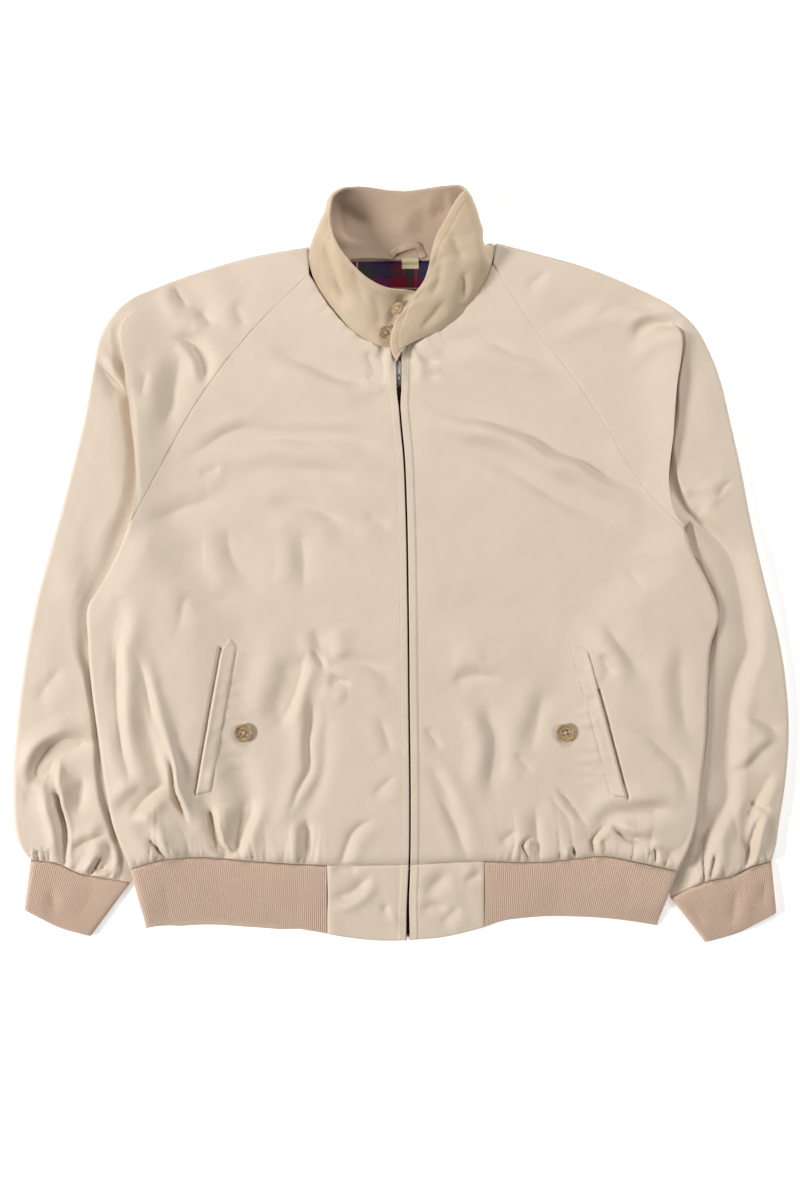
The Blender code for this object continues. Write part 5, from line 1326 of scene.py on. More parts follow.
def tab_points(side):
    out = OUTWARD[side]
    x_end = TAB_END[side] - out * 0.2
    rows = []
    for v in TAB_ROWS:
        y0 = ZIP_BOTTOM * (1 - v) + (HEM_BOTTOM + 1) * v
        x_zip = x_at(ZIP, y0) + out * slit(y0)
        x = x_zip + (x_end - x_zip) * TAB_COLUMNS
        y = y_at(SEAM, x) * (1 - v) + y_at(EDGE, x) * v
        from_zip = np.abs(x - x_zip)
        z = ZIP_CLEAR + SHELL + 0.4 + 0.9 * noise(x / 17, (y + x * 0.8) / 26, 71 + out) * ease(from_zip / 9)
        z = z + 1.0 * math.sin(math.pi * v) * ease(from_zip / 20)
        z = z + 0.7 * ease((8.5 - from_zip) / 1.5) - 0.5 * bell(from_zip - TAB_STITCH, 0.8)
        z = z + CREASE_RISE * creases_height(TAB_CREASES, x, y)
        z = z - 2.0 * (1 - quarter_round((1 - TAB_COLUMNS) * abs(x_end - x_zip) / 5))
        z = z - 1.3 * (1 - quarter_round(v * TAB_DEPTH / 5))
        rows.append(np.column_stack([x, y, z]))
    return np.array(rows)


def sew_tabs():
    for side in OUTWARD:
        points = turn(tab_points(side), 0, 1, TAB_HEM_TURN)
        points = turn(points, 1, 0, TAB_ZIP_TURN)
        points = turn(points, 1, 1, SEAM_TURN)
        sheet(f"waistband_tab_{side}", points, TWILL, 0.9)


# Collar

COLLAR_THICK = 1.55  # half of the collar's whole thickness
COLLAR_STEPS = 10  # points between two stations
COLLAR_STITCH = 9.5  # from the collar's edge to its row of stitches
PLY_APART = 0.05  # from the middle surface to each ply's hidden face


def collar_surface(u, v):
    """The collar's middle surface at shares round it and up it, and its unit normals towards the neck."""
    line = smooth_line(COLLAR, steps=COLLAR_STEPS)
    place = u * (len(line) - 1)
    row = np.stack([np.interp(place, np.arange(len(line)), column) for column in line.T], axis=-1)
    seam, middle, top = row[:, :3], row[:, 3:6], row[:, 6:9]
    v = v[:, None, None]
    grid = seam * (1 - v) * (1 - 2 * v) + middle * 4 * v * (1 - v) + top * v * (2 * v - 1)
    normal = np.cross(np.gradient(grid, axis=1), np.gradient(grid, axis=0))
    normal /= np.linalg.norm(normal, axis=2, keepdims=True)
    return grid, normal


def sew_collar():
    u = steps_between(0, (0.03, 8), (0.95, 150), (1.0, 12))
    v = steps_between(-0.06, (0.0, 3), (0.9, 34), (1.0, 10))
    grid, normal = collar_surface(u, v)
    run, rise = lengths_over(grid, 1), lengths_over(grid, 0)
    from_end = np.minimum(run, run[:, -1:] - run)
    from_top = rise[-1:] - rise
    border = np.minimum(from_end, from_top)
    body = 0.16 + (COLLAR_THICK - 0.16) * quarter_round(border / 2.2)
    quilt = 0.7 * noise(run / 26, rise / 30, 81) + 0.4 * noise(run / 9, rise / 12, 82)
    x, y = grid[..., 0], grid[..., 1]
    quilt = quilt + CREASE_RISE * (creases_height(COLLAR_INSIDE, x, y) - creases_height(COLLAR_OUTSIDE, x, y))
    quilt = quilt - CREASE_RISE * creases_height(COLLAR_UNDER, x, y) * (u < 0.3)
    bend = quilt * ease(rise / 12) * ease(border / 6) + 0.6 * noise(run / 7, rise * 0, 83) * bell(rise, 9)
    sunk = -0.6 * bell(border - COLLAR_STITCH, 0.9)
    middle = grid + normal * bend[..., None]
    middle[..., 2] = np.maximum(middle[..., 2], 2.4)
    for name, sign in (("collar_outer", -1), ("collar_inner", 1)):
        near = middle + normal * (sign * PLY_APART)
        far = middle + normal * (sign * (body + sunk * (sign < 0)))[..., None]
        loop = np.concatenate([far, near[:, ::-1]], axis=1)
        # Each ply takes its own finish, whose colour holds painted shade (the inner one some wear too).
        obj = grid_object(f"{name}_cloth", loop, finish(name), ring=True)
        cap_ends(obj)
        placed(obj, "cotton_twill", name)
        declared(obj, far)


def cap_ends(obj):
    """Closes the open ends of a tube-like piece, and turns all its faces outward."""
    bm = bmesh.new()
    bm.from_mesh(obj.data)
    open_edges = [edge for edge in bm.edges if edge.is_boundary]
    bmesh.ops.edgeloop_fill(bm, edges=open_edges)
    bmesh.ops.recalc_face_normals(bm, faces=bm.faces)
    bm.to_mesh(obj.data)
    bm.free()


# Neck

LINING_TOP = 304.5  # y of the collar's seam at the back of the neck


def tree_of(name):
    """A piece as rays find it."""
    return BVHTree.FromObject(bpy.data.objects[name], bpy.context.evaluated_depsgraph_get())


def heights(trees, x, y):
    """The top of pieces at points, in millimetres."""
    found = []
    for px, py in zip(np.ravel(x), np.ravel(y)):
        hits = [tree.ray_cast(Vector((px * MM, py * MM, 0.2)), Vector((0, 0, -1)))[0] for tree in trees]
        found.append(max((hit.z / MM for hit in hits if hit), default=0.0))
    return np.array(found).reshape(np.shape(x))


def box_of(node):
    """The lowest and highest x, y and z of a node, in millimetres."""
    return [[value / MM for value in corner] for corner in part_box(node)]


def line_neck():
    """The lining as far as the neck shows it, a little uneven, with what is sewn to it."""
    (left, bottom, _), (right, _, _) = box_of("lining_back")
    x, y = np.meshgrid(np.linspace(left + 1, right - 1, 90), np.linspace(bottom + 1, LINING_TOP, 42))
    z = 2.6 + 0.5 * noise(x / 18, y / 15, 91) + 0.25 * noise(x / 7, y / 9, 92)
    points = np.stack([x, y, z], axis=2)
    obj = grid_object("lining_cloth", points, finish("tartan"))
    thickened(obj, 0.4)
    placed(obj, "tartan_lining", "lining_back")
    declared(obj, points, trims=[sew_loop(), sew_label()])


def sew_loop():
    """The hanger loop: a tape that arches from end to end."""
    (_, _, base), (_, _, top) = box_of("hanger_loop")
    route = smooth_line(LOOP_ROUTE, steps=8)
    along = np.gradient(route, axis=0)
    side = np.column_stack([-along[:, 1], along[:, 0]]) / np.linalg.norm(along, axis=1, keepdims=True)
    across = np.linspace(-1, 1, 9)
    share = np.linspace(0, 1, len(route))
    z = base + 0.3 + (top - base - 1.4) * np.sin(math.pi * share)[:, None] - 0.5 * across**2
    z = z + 0.9 * noise(share * 7, share * 0, 95)[:, None] * (1 + across)
    xy = route[:, None] + side[:, None] * (across * LOOP_WIDTH / 2)[:, None]
    points = np.concatenate([xy, z[..., None]], axis=2)
    # The loop takes the collar's inside colour, wear and painted shade included.
    obj = grid_object("hanger_loop_cloth", points, finish("collar_inner"))
    thickened(obj, 0.9)
    return placed(obj, "cotton_twill", "hanger_loop")


def sew_label():
    """The blank label, its top edge sewn over the collar's seam and its ends turned in."""
    (left, bottom, base), (right, top, _) = box_of("size_label")
    seam = top - 1
    x, y = np.meshgrid(np.linspace(left, right + 1, 40), np.linspace(bottom + 1, seam + 5, 24))
    z = heights([tree_of("lining_cloth")], x, y)
    end = np.minimum(x - x.min(), x.max() - x)
    z = np.maximum(z, base - 0.6) + 0.15 + 0.35 * ease(end / 0.8) - 0.2 * bell(end - 1.6, 0.4)
    z = z + 2.3 * ease((y - seam + 2) / 4)
    obj = grid_object("size_label_satin", np.stack([x, y, z], axis=2), finish("satin"))
    thickened(obj, 0.35)
    return placed(obj, "label_satin", "size_label")


# Pockets

WELT_LENGTH = 150


def sew_welts():
    """The folded strip of each pocket: its free edge stands a little off the opening."""
    for side, ((x0, y0), (x1, y1)) in POCKET.items():
        out = OUTWARD[side]
        a, w = np.meshgrid(np.linspace(0, 1, 90), np.linspace(0, 1, 18), indexing="ij")
        x = x0 + (x1 - x0) * a - out * WELT_WIDTH * w
        y = y0 + (y1 - y0) * a + WELT_SLANT * w
        if side == "right":  # its upper end is sewn to a point
            y = y + 10 * (1 - np.abs(2 * w - 1.1)) * np.maximum(0, 1 - a / 0.07)
        ground = heights([tree_of(f"front_{side}_cloth")], x, y)
        edge = np.minimum(np.minimum(a, 1 - a) * WELT_LENGTH, (1 - w) * WELT_WIDTH)
        puckers = 0.9 * noise(a * WELT_LENGTH / 9, w * 1.6, 101 + out) * (0.3 + 0.7 * w)
        z = ground - 0.35 + 1.5 * quarter_round(edge / 4.0) + puckers
        z = z + 0.9 * bell(w * WELT_WIDTH - 1.5, 2.5) * np.sin(math.pi * a)
        points = turn(np.stack([x, y, z], axis=2), 1, 0, WELT_TURN)
        sheet(f"pocket_welt_{side}", points, TWILL, 0.7)


# Hard trims, worked from primitives

SMOOTH_ANGLE = math.radians(35)


def alone(obj):
    """Makes an object the only one selected, and the active one."""
    bpy.ops.object.select_all(action="DESELECT")
    obj.select_set(True)
    bpy.context.view_layer.objects.active = obj


def block(size, place=(0, 0, 0)):
    """A box of a size in metres."""
    bpy.ops.mesh.primitive_cube_add(size=1, location=place)
    obj = bpy.context.object
    obj.scale = size
    bpy.ops.object.transform_apply(location=False, rotation=False)
    return obj


def edit_faces(obj, keep):
    """Goes into edit mode with only the faces that keep(face) picks selected."""
    bpy.ops.object.mode_set(mode="EDIT")
    bpy.ops.mesh.select_mode(type="FACE")
    bpy.ops.mesh.select_all(action="DESELECT")
    bm = bmesh.from_edit_mesh(obj.data)
    for face in bm.faces:
        face.select_set(bool(keep(face)))
    bmesh.update_edit_mesh(obj.data)


def narrowed(obj, keep, shares):
    """Its faces that keep(face) picks, resized by shares of their width on each axis."""
    edit_faces(obj, keep)
    bpy.ops.transform.resize(value=shares)
    bpy.ops.object.mode_set(mode="OBJECT")


def cut_away(obj, cutter, operation="DIFFERENCE"):
    cut = obj.modifiers.new("cut", "BOOLEAN")
    cut.operation, cut.object, cut.solver = operation, cutter, "EXACT"
    bpy.ops.object.select_all(action="DESELECT")
    apply_modifiers(obj)
    bpy.data.objects.remove(cutter)


def softened(obj, width, segments=3, angle=28.0):
    """Its edges are rounded over and it is shaded smooth."""
    bevel = obj.modifiers.new("edges", "BEVEL")
    bevel.width, bevel.segments, bevel.angle_limit = width * MM, segments, math.radians(angle)
    bpy.ops.object.select_all(action="DESELECT")
    apply_modifiers(obj)
    alone(obj)
    bpy.ops.object.shade_smooth_by_angle(angle=SMOOTH_ANGLE)
    obj.select_set(False)


def named(obj, name, material, matrix):
    """Names a piece, gives it its finish and works its place into its mesh."""
    obj.name = obj.data.name = name
    obj.data.materials.clear()
    obj.data.materials.append(material)
    obj.data.transform(matrix @ obj.matrix_world)
    obj.matrix_world = Matrix.Identity(4)
    return obj


BUTTON_HEIGHT = 0.15  # share of a button's diameter
SEWN_ON = {"pocket_button_right": "front_right_cloth", "pocket_button_left": "front_left_cloth",
           "collar_button_upper": "collar_outer_cloth", "collar_button_lower": "collar_outer_cloth"}
BUTTON_THREAD = 0.36  # radius of the thread in a button
HOLE_REACH = 0.095  # share of a button's diameter from its middle to where the thread goes down
STRAND_SHIFT = 0.28  # from the middle of a pair of strands to each
TOOTH = (2.9, 1.35, 1.6)  # a tooth's size across the zip, along it and up
TOOTH_OFFSET = 0.75  # from the zip's line to the middle of a tooth
ARCH_HEIGHT = 0.0028  # in metres, what the arch takes of the slider's height


def turn_button(diameter):
    """A four-hole button turned with a raised rim, lying at the origin."""
    radius, height = diameter / 2 * MM, diameter * BUTTON_HEIGHT * MM
    middle = (0, 0, height / 2)
    bpy.ops.mesh.primitive_cylinder_add(vertices=64, radius=radius * 0.78, depth=height, location=middle)
    obj = bpy.context.object
    edit_faces(obj, lambda face: face.normal.z > 0.9)
    bpy.ops.transform.resize(value=(1.2, 1.2, 1))
    for inset, sink in ((0.17, 0), (0.12, -0.42), (0.2, -0.06)):
        bpy.ops.mesh.inset(thickness=radius * inset, depth=height * sink)
    bpy.ops.object.mode_set(mode="OBJECT")
    for k in range(4):
        angle = math.pi / 4 + k * math.pi / 2
        place = (math.cos(angle) * radius * 0.27, math.sin(angle) * radius * 0.27, 0)
        bpy.ops.mesh.primitive_cylinder_add(
            vertices=20, radius=radius * 0.115, depth=6 * height, location=place)
        cut_away(obj, bpy.context.object)
    softened(obj, diameter * 0.018)
    return obj


def button_seat(middle, diameter, cloth):
    """Where a button lies on its cloth: the turn and the whole matrix."""
    x, y, _ = middle
    ring = np.arange(12) * math.pi / 6
    dx, dy = np.cos(ring) * diameter * 0.36, np.sin(ring) * diameter * 0.36
    z = heights([tree_of(cloth)], x + dx, y + dy)
    plane, *_ = np.linalg.lstsq(np.column_stack([dx, dy, np.ones(12)]), z, rcond=None)
    above = z - plane[2] - dx * plane[0] - dy * plane[1]
    rest = plane[2] + max(0.0, float(above.max())) * 0.6
    normal = Vector((-plane[0], -plane[1], 1)).normalized()
    turned = normal.to_track_quat("Z", "Y").to_matrix().to_4x4()
    return turned, Matrix.Translation(Vector((x, y, rest + 0.1)) * MM) @ turned


def sew_buttons(sizes):
    """The pocket and collar buttons, each tilted as the cloth under it lies, with crossed thread."""
    strands = []
    for name, cloth in SEWN_ON.items():
        diameter = (sizes.pocket_button if "pocket" in name else sizes.collar_button) / MM
        turned, matrix = button_seat(np.mean(box_of(name), axis=0), diameter, cloth)
        button = named(turn_button(diameter), f"{name}_horn", finish("horn"), matrix)
        placed(button, "button_horn", name)
        hole, dish = diameter * HOLE_REACH, diameter * BUTTON_HEIGHT * 0.52 + 0.35
        for slant in (1, -1):
            ends = [matrix @ (Vector((-hole * way, -hole * way * slant, dish)) * MM) for way in (1, -1)]
            for shift in (-STRAND_SHIFT, STRAND_SHIFT):
                aside = turned @ (Vector((-shift * slant, shift, 0)) * MM)
                strands.append([np.array(end + aside) / MM for end in ends])
    placed(thread_object("button_threads", strands, BUTTON_THREAD), "cotton_twill")


def taken_apart(obj):
    """An object's points and faces. The object itself goes."""
    shape = np.array([vertex.co for vertex in obj.data.vertices])
    faces = [list(face.vertices) for face in obj.data.polygons]
    bpy.data.objects.remove(obj)
    return shape, faces


def copies(name, placed_shapes, faces, material):
    """One object of many copies of a shape, each given by its points."""
    count = len(placed_shapes[0])
    all_faces = [[k * count + corner for corner in face] for k in range(len(placed_shapes)) for face in faces]
    return mesh_object(name, np.vstack(placed_shapes), all_faces, material)


def thread_object(name, strands, radius):
    """Short lengths of thread, each one copy of a stretched ball."""
    bpy.ops.mesh.primitive_uv_sphere_add(segments=6, ring_count=4, radius=1.0)
    shape, faces = taken_apart(bpy.context.object)
    blunt = np.sign(shape[:, 2]) * np.abs(shape[:, 2]) ** 0.7
    shape = np.column_stack([shape[:, 0], shape[:, 1], blunt])
    lengths = []
    for a, b in strands:
        way = b - a
        length = np.linalg.norm(way)
        way = way / length
        side = np.cross(way, (0, 0, 1.0))
        side = side / np.linalg.norm(side)
        up = np.cross(side, way)
        local = shape * (radius, radius, length / 2 + radius * 0.4)
        lengths.append((a + b) / 2 + local[:, :1] * side + local[:, 1:2] * up + local[:, 2:] * way)
    return copies(name, lengths, faces, finish("thread"))


def set_teeth(sizes):
    """The chain of teeth along the zip, from one side and the other in turn."""
    (_, bottom, low), (_, top, high) = box_of("zip_chain")
    tooth = block(np.array(TOOTH) * MM)
    narrowed(tooth, lambda face: face.normal.x > 0.9, (1, 0.6, 0.8))
    softened(tooth, 0.16, segments=1)
    shape, faces = taken_apart(tooth)
    teeth = []
    for k, y in enumerate(np.arange(bottom + 1, top - 1, sizes.tooth_pitch / MM / 2)):
        sign = 1 if k % 2 else -1
        at = np.array([x_at(ZIP, y) - sign * TOOTH_OFFSET, y, (low + high) / 2])
        teeth.append(at + shape / MM * (sign, sign, 1))
    # The teeth's finish carries painted shade of the slit.
    placed(copies("zip_teeth", teeth, faces, finish("teeth")), "zip_metal", "zip_chain")


def set_slider():
    """The slider, with the arch that the pull tab hangs on."""
    low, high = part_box("zip_slider")
    middle, size = (low + high) / 2, high - low
    body = size.z - ARCH_HEIGHT
    slider = block((size.x, size.y, body))
    narrowed(slider, lambda face: face.normal.y < -0.9, (0.7, 1, 0.85))
    edit_faces(slider, lambda face: face.normal.z > 0.9)
    bpy.ops.mesh.inset(thickness=0.0006, depth=0.0003)
    bpy.ops.object.mode_set(mode="OBJECT")
    softened(slider, 0.5, segments=4)
    bpy.ops.mesh.primitive_torus_add(
        major_radius=0.0022, minor_radius=0.00052, major_segments=32, minor_segments=12,
        rotation=(0, math.pi / 2, 0), location=(0, 0.0015, body / 2 + 0.0004))
    cut_away(slider, bpy.context.object, "UNION")
    at = Matrix.Translation((middle.x, middle.y, low.z + body / 2))
    placed(named(slider, "zip_slider_metal", finish("metal"), at), "zip_metal", "zip_slider")
    slider.data.shade_smooth()


def set_pull():
    """The pull tab, with the hole at its hinge and a sunk panel below."""
    low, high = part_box("zip_pull")
    middle, size = (low + high) / 2, high - low
    pull = block(size)
    narrowed(pull, lambda face: face.normal.y > 0.9, (0.86, 1, 1))
    softened(pull, 0.32, segments=3)
    hinge = low.y + 0.00045 - middle.y
    for near, far, wide, deep, up in (
            (0.00045, 0.0036, 0.0023, 0.004, 0), (0.0058, 0.0142, 0.0022, 0.0006, 0.00062)):
        cutter = block((wide, far - near, deep), (0, hinge + (near + far) / 2, up))
        softened(cutter, 0.25, segments=3)
        cut_away(pull, cutter)
    pull = named(pull, "zip_pull_tab", finish("metal"), Matrix.Translation(middle))
    alone(pull)
    bpy.ops.object.shade_smooth_by_angle(angle=SMOOTH_ANGLE)
    placed(pull, "zip_metal", "zip_pull", body="zip_pull")


def close_zip(sizes):
    set_teeth(sizes)
    set_slider()
    set_pull()


# Pieces that lie on the table, finished from their own solids

def finer(node, suffix, material, slot, longest=12.0, relief=0.14):
    """A finer copy of a flat piece, a little uneven, with its weave mapped in plan."""
    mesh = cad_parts[node].data.copy()
    obj = bpy.data.objects.new(f"{node}_{suffix}", mesh)
    bpy.context.scene.collection.objects.link(obj)
    mesh.name = obj.name
    mesh.materials.clear()
    mesh.materials.append(material)
    bm = bmesh.new()
    bm.from_mesh(mesh)
    bmesh.ops.remove_doubles(bm, verts=bm.verts, dist=2e-6)
    for _ in range(5):
        long_edges = [edge for edge in bm.edges if edge.calc_length() > longest * MM]
        if not long_edges:
            break
        bmesh.ops.subdivide_edges(bm, edges=long_edges, cuts=1)
        bmesh.ops.triangulate(bm, faces=[face for face in bm.faces if len(face.verts) > 3])
    places = np.array([vertex.co for vertex in bm.verts]) / MM
    normals = np.array([vertex.normal for vertex in bm.verts])
    x, y = places[:, 0], places[:, 1]
    uneven = noise(x / 19, y / 27, 111) + 0.5 * noise(x / 8, y / 9, 112)
    flat = np.abs(normals[:, 2]) > 0.95
    for vertex, normal, height, lies in zip(bm.verts, normals, uneven, flat):
        if lies:
            vertex.co.z -= float(normal[2]) * abs(float(height)) * relief * MM
    layer = bm.loops.layers.uv.new("cloth")
    for face in bm.faces:
        for loop in face.loops:
            loop[layer].uv = (loop.vert.co.x, loop.vert.co.y)
    bm.to_mesh(mesh)
    bm.free()
    softened(obj, 0.35, segments=2, angle=50)
    placed(obj, slot, node)


def lay_back():
    for node in ("back", "sleeve_back_right", "sleeve_back_left"):
        finer(node, "cloth", finish("twill"), "cotton_twill")
    # The tapes' finish is dark with painted shade of the zip's slit.
    for node in ("zip_tape_right", "zip_tape_left"):
        finer(node, "weave", finish("tape"), "zip_tape", relief=0.0)


# Topstitching

STITCH_SHARE = 0.8  # of the pitch, what a stitch covers
WELT_INSET = 1.6  # from a welt's sewn edge to its stitches


def stitched(line, trees, pitch, length, lift=0.06):
    """Stitches along a line in plan, lying on the cloth."""
    run = lengths_of(line)
    starts = np.arange(pitch * 0.5, run[-1] - length, pitch)
    ends = []
    for shift in (0.0, length):
        x, y = (np.interp(starts + shift, run, line[:, k]) for k in (0, 1))
        ends.append(np.column_stack([x, y, heights(trees, x, y) + lift]))
    return [(a, b) for a, b in zip(*ends) if abs(a[2] - b[2]) < length and min(a[2], b[2]) > 1.5]


def beside_zip(side, y, away):
    """A line in plan along a front's or tab's folded edge."""
    return np.column_stack([x_at(ZIP, y) + OUTWARD[side] * (slit(y) + away), y])


def welt_stitches(side, trees, pitch):
    """The row along a welt's sewn edge, and one across each of its ends."""
    out = OUTWARD[side]
    (x0, y0), (x1, y1) = POCKET[side]
    aside = out * WELT_WIDTH
    inner = np.linspace([x0 - aside, y0 + WELT_SLANT], [x1 - aside, y1 + WELT_SLANT], 40)
    pieces = stitched(inner + [out * WELT_INSET, 0], trees, pitch, pitch * STITCH_SHARE)
    for end in (inner[0], inner[-1]):
        start = end + [out * WELT_INSET, WELT_INSET]
        row = np.linspace(start, start + [out * (WELT_WIDTH - 2), -2.2], 12)
        pieces += stitched(row, trees, pitch * 0.8, pitch * 0.6)
    return pieces


def collar_stitches(pitch, count=400):
    """The row round the collar, below its top edge."""
    grid, normal = collar_surface(np.linspace(0.0, 0.965, count), np.linspace(0, 1, 60))
    rise = lengths_over(grid, 0)
    row, station = np.abs(rise[-1:] - rise - COLLAR_STITCH).argmin(axis=0), np.arange(count)
    line = grid[row, station] - normal[row, station] * (COLLAR_THICK - 0.25)
    run = lengths_of(line)
    starts = np.arange(2, run[-1] - pitch, pitch)
    ends = [np.column_stack([np.interp(starts + shift, run, line[:, k]) for k in range(3)])
            for shift in (0, pitch * STITCH_SHARE)]
    return list(zip(*ends))


def topstitch(sizes):
    """Rows of stitching at the zip, the pockets and the collar's edge."""
    pitch, radius = sizes.stitch_pitch / MM, sizes.thread / 2 / MM
    pieces = []
    for side in OUTWARD:
        cloths = (f"front_{side}_cloth", f"waistband_tab_{side}_cloth", f"pocket_welt_{side}_cloth")
        front, tab, welt = (tree_of(cloth) for cloth in cloths)
        strip = beside_zip(side, np.linspace(ZIP_BOTTOM + 1, 208, 200), ZIP_STITCH)
        pieces += stitched(strip, [front], pitch, pitch * STITCH_SHARE)
        strip = beside_zip(side, np.linspace(-372, ZIP_BOTTOM - 2, 40), TAB_STITCH)
        pieces += stitched(strip, [tab], pitch, pitch * STITCH_SHARE)
        pieces += welt_stitches(side, [welt, front], pitch)
    pieces += collar_stitches(pitch)
    placed(thread_object("topstitching", pieces, radius), "cotton_twill")


# Floor, light and camera

FLOOR_SIZE, FLOOR_DROP = 8, 0.0002
CAMERA_AT = (0, -0.038)
LIGHTS_AIM = Vector((0, -0.03, 0))
WORLD_TINT = (1, 0.9, 0.8, 1)


def lay_floor(glow):
    bpy.ops.mesh.primitive_plane_add(size=FLOOR_SIZE, location=(0, 0, -FLOOR_DROP))
    floor = bpy.context.object
    paper = Shader("pale_paper", Roughness=0.9, Specular_IOR_Level=0.1, Emission_Strength=glow)
    grain = paper.noise(paper.place("Object"), 0.004, detail=4)
    colour = paper.mix(grain, (0.78, 0.78, 0.775), (0.8, 0.8, 0.795))
    floor.data.materials.append(paper.feed(Base_Color=colour, Emission_Color=colour))
    floor.name = "floor"


def dress_stage(light):
    scene = bpy.context.scene
    scene.view_settings.view_transform = "Standard"
    lay_floor(light.floor_glow)
    soft_boxes = {  # place, size and power
        "light_left": ((-3.2, -0.6, 2.0), 1.0, light.side_light),
        "light_right": ((3.2, 0.05, 2.15), 1.3, light.side_light * 0.38),
        "light_top": ((0.15, 1.7, 1.2), 0.8, light.top_light),
    }
    for name, (place, size, power) in soft_boxes.items():
        bpy.ops.object.light_add(type="AREA", location=place)
        lamp = bpy.context.object
        lamp.name = name
        lamp.data.shape, lamp.data.size, lamp.data.energy = "DISK", size, power
        lamp.rotation_euler = (LIGHTS_AIM - Vector(place)).to_track_quat("-Z", "Y").to_euler()
    world = scene.world or bpy.data.worlds.new("studio")
    scene.world = world
    world.use_nodes = True
    background = world.node_tree.nodes["Background"]
    background.inputs["Color"].default_value = WORLD_TINT
    background.inputs["Strength"].default_value = light.fill
    bpy.ops.object.camera_add(location=(*CAMERA_AT, light.camera_height), rotation=(0, 0, 0))
    camera = bpy.context.object
    camera.name = "camera"
    camera.data.lens, camera.data.sensor_width = 50, 36
    scene.camera = camera


# The panel's settings

def colour_property(name, description, default):
    return FloatVectorProperty(
        name=name, description=description, subtype="COLOR", size=3, min=0, max=1, default=default)


def length_property(name, description, default):
    return FloatProperty(
        name=name, description=description, subtype="DISTANCE", unit="LENGTH", min=0.00005, default=default)


def power_property(name, description, default):
    return FloatProperty(name=name, description=description, unit="POWER", min=0, default=default)


class JacketCloth(bpy.types.PropertyGroup):
    """Colours of the cloth, knit and lining."""

    twill: colour_property("Twill", "Colour of the jacket's cotton", linear(215, 199, 180))
    # The collar's outside colour is the body's twill made darker and browner: painted shade on the same
    # cloth.
    collar_outer: colour_property("Collar outside", "Colour of the collar's outer ply", linear(204, 183, 155))
    # The collar's inside colour is the twill made darker and browner: partly wear, partly painted shade of
    # the collar's inside.
    collar_inner: colour_property("Collar inside", "Colour of the collar's inner ply", linear(187, 162, 140))
    rib: colour_property("Rib", "Colour of the cuffs and waistband", linear(208, 181, 160))
    tartan_red: colour_property("Lining red", "Red ground of the lining's check", linear(122, 20, 44))
    tartan_navy: colour_property("Lining navy", "Navy ground of the lining's check", linear(44, 32, 82))
    tartan_green: colour_property("Lining green", "Green ground of the lining's check", linear(36, 52, 46))
    tartan_pale: colour_property("Lining line", "Thin pale lines of the check", linear(206, 190, 158))
    satin: colour_property("Label", "Colour of the blank label", linear(212, 198, 160))
    weave: length_property("Weave", "Distance between the slanting wales of the twill", 0.0011)


class JacketTrims(bpy.types.PropertyGroup):
    """Sizes and colours of buttons, zip and thread."""

    horn: colour_property("Buttons", "Colour of the buttons", linear(172, 146, 110))
    metal: colour_property("Slider", "Colour of the slider and pull tab", linear(205, 203, 198))
    # The teeth's dark brown is partly their own dark brass and partly painted shade of the zip's slit.
    teeth: colour_property("Teeth", "Colour of the zip's teeth", linear(64, 44, 28))
    # The tape's dark brown is painted shade: the shadow in the slit between the fronts, in place of the
    # tape's own lighter colour.
    tape: colour_property("Tape", "Colour of the zip's tape", linear(60, 42, 30))
    thread_colour: colour_property("Thread", "Colour of the sewing thread", linear(206, 186, 160))
    pocket_button: length_property("Pocket button", "Width of a pocket button", 0.020)
    collar_button: length_property("Collar button", "Width of a collar button", 0.015)
    tooth_pitch: length_property("Tooth pitch", "Distance between teeth on one side", 0.0028)
    stitch_pitch: length_property("Stitch", "Distance from stitch to stitch", 0.0030)
    thread: length_property("Thread width", "Thickness of the sewing thread", 0.0005)


class JacketStage(bpy.types.PropertyGroup):
    """Light and camera."""

    side_light: power_property("Side lights", "Power of the soft box on the left", 151.0)
    top_light: power_property("Top light", "Power of the light above the collar", 18.0)
    fill: FloatProperty(name="Fill", description="Strength of the even light all round", min=0, default=0.085)
    floor_glow: FloatProperty(name="Floor glow", description="Light of the floor itself", min=0, default=0.6)
    camera_height: length_property("Camera height", "Height of the camera over the floor", 1.672)


MAKERS = {  # each finish, made from the panel's colours
    "twill": lambda cloth, trims: twill_cloth("cotton_twill_cloth", cloth.twill, cloth.weave),
    # The collar's outer ply: the body's twill with painted shade in its colour.
    "collar_outer": lambda cloth, trims: twill_cloth("collar_twill_outer_painted_shade", cloth.collar_outer, cloth.weave),
    # The collar's inner ply: the body's twill with some wear and painted shade in its colour.
    "collar_inner": lambda cloth, trims: twill_cloth("collar_twill_inner_wear_and_painted_shade", cloth.collar_inner, cloth.weave),
    "rib": lambda cloth, trims: rib_cloth("rib_knit_yarn", cloth.rib),
    "tartan": lambda cloth, trims: tartan_cloth(
        "lining_check", cloth.tartan_red, cloth.tartan_navy, cloth.tartan_green, cloth.tartan_pale),
    "satin": lambda cloth, trims: woven_tape("label_satin_weave", cloth.satin, pitch=0.35),
    "horn": lambda cloth, trims: horn("button_horn_polish", trims.horn),
    "thread": lambda cloth, trims: thread_finish("sewing_thread", trims.thread_colour),
    # The zip's tape, dark with painted shade of the slit.
    "tape": lambda cloth, trims: woven_tape("zip_tape_weave_painted_shade", trims.tape),
    "metal": lambda cloth, trims: metal("slider_nickel", trims.metal, roughness=0.48),
    # The teeth: dark brass with painted shade of the zip's slit in the colour.
    "teeth": lambda cloth, trims: metal("tooth_brass_painted_shade", trims.teeth, roughness=0.5),
}
MADE = {}


def finish(name):
    """The material of a name, made from the panel's colours when it is first asked for."""
    if name not in MADE:
        scene = bpy.context.scene
        MADE[name] = MAKERS[name](scene.jacket_cloth, scene.jacket_trims)
    return MADE[name]


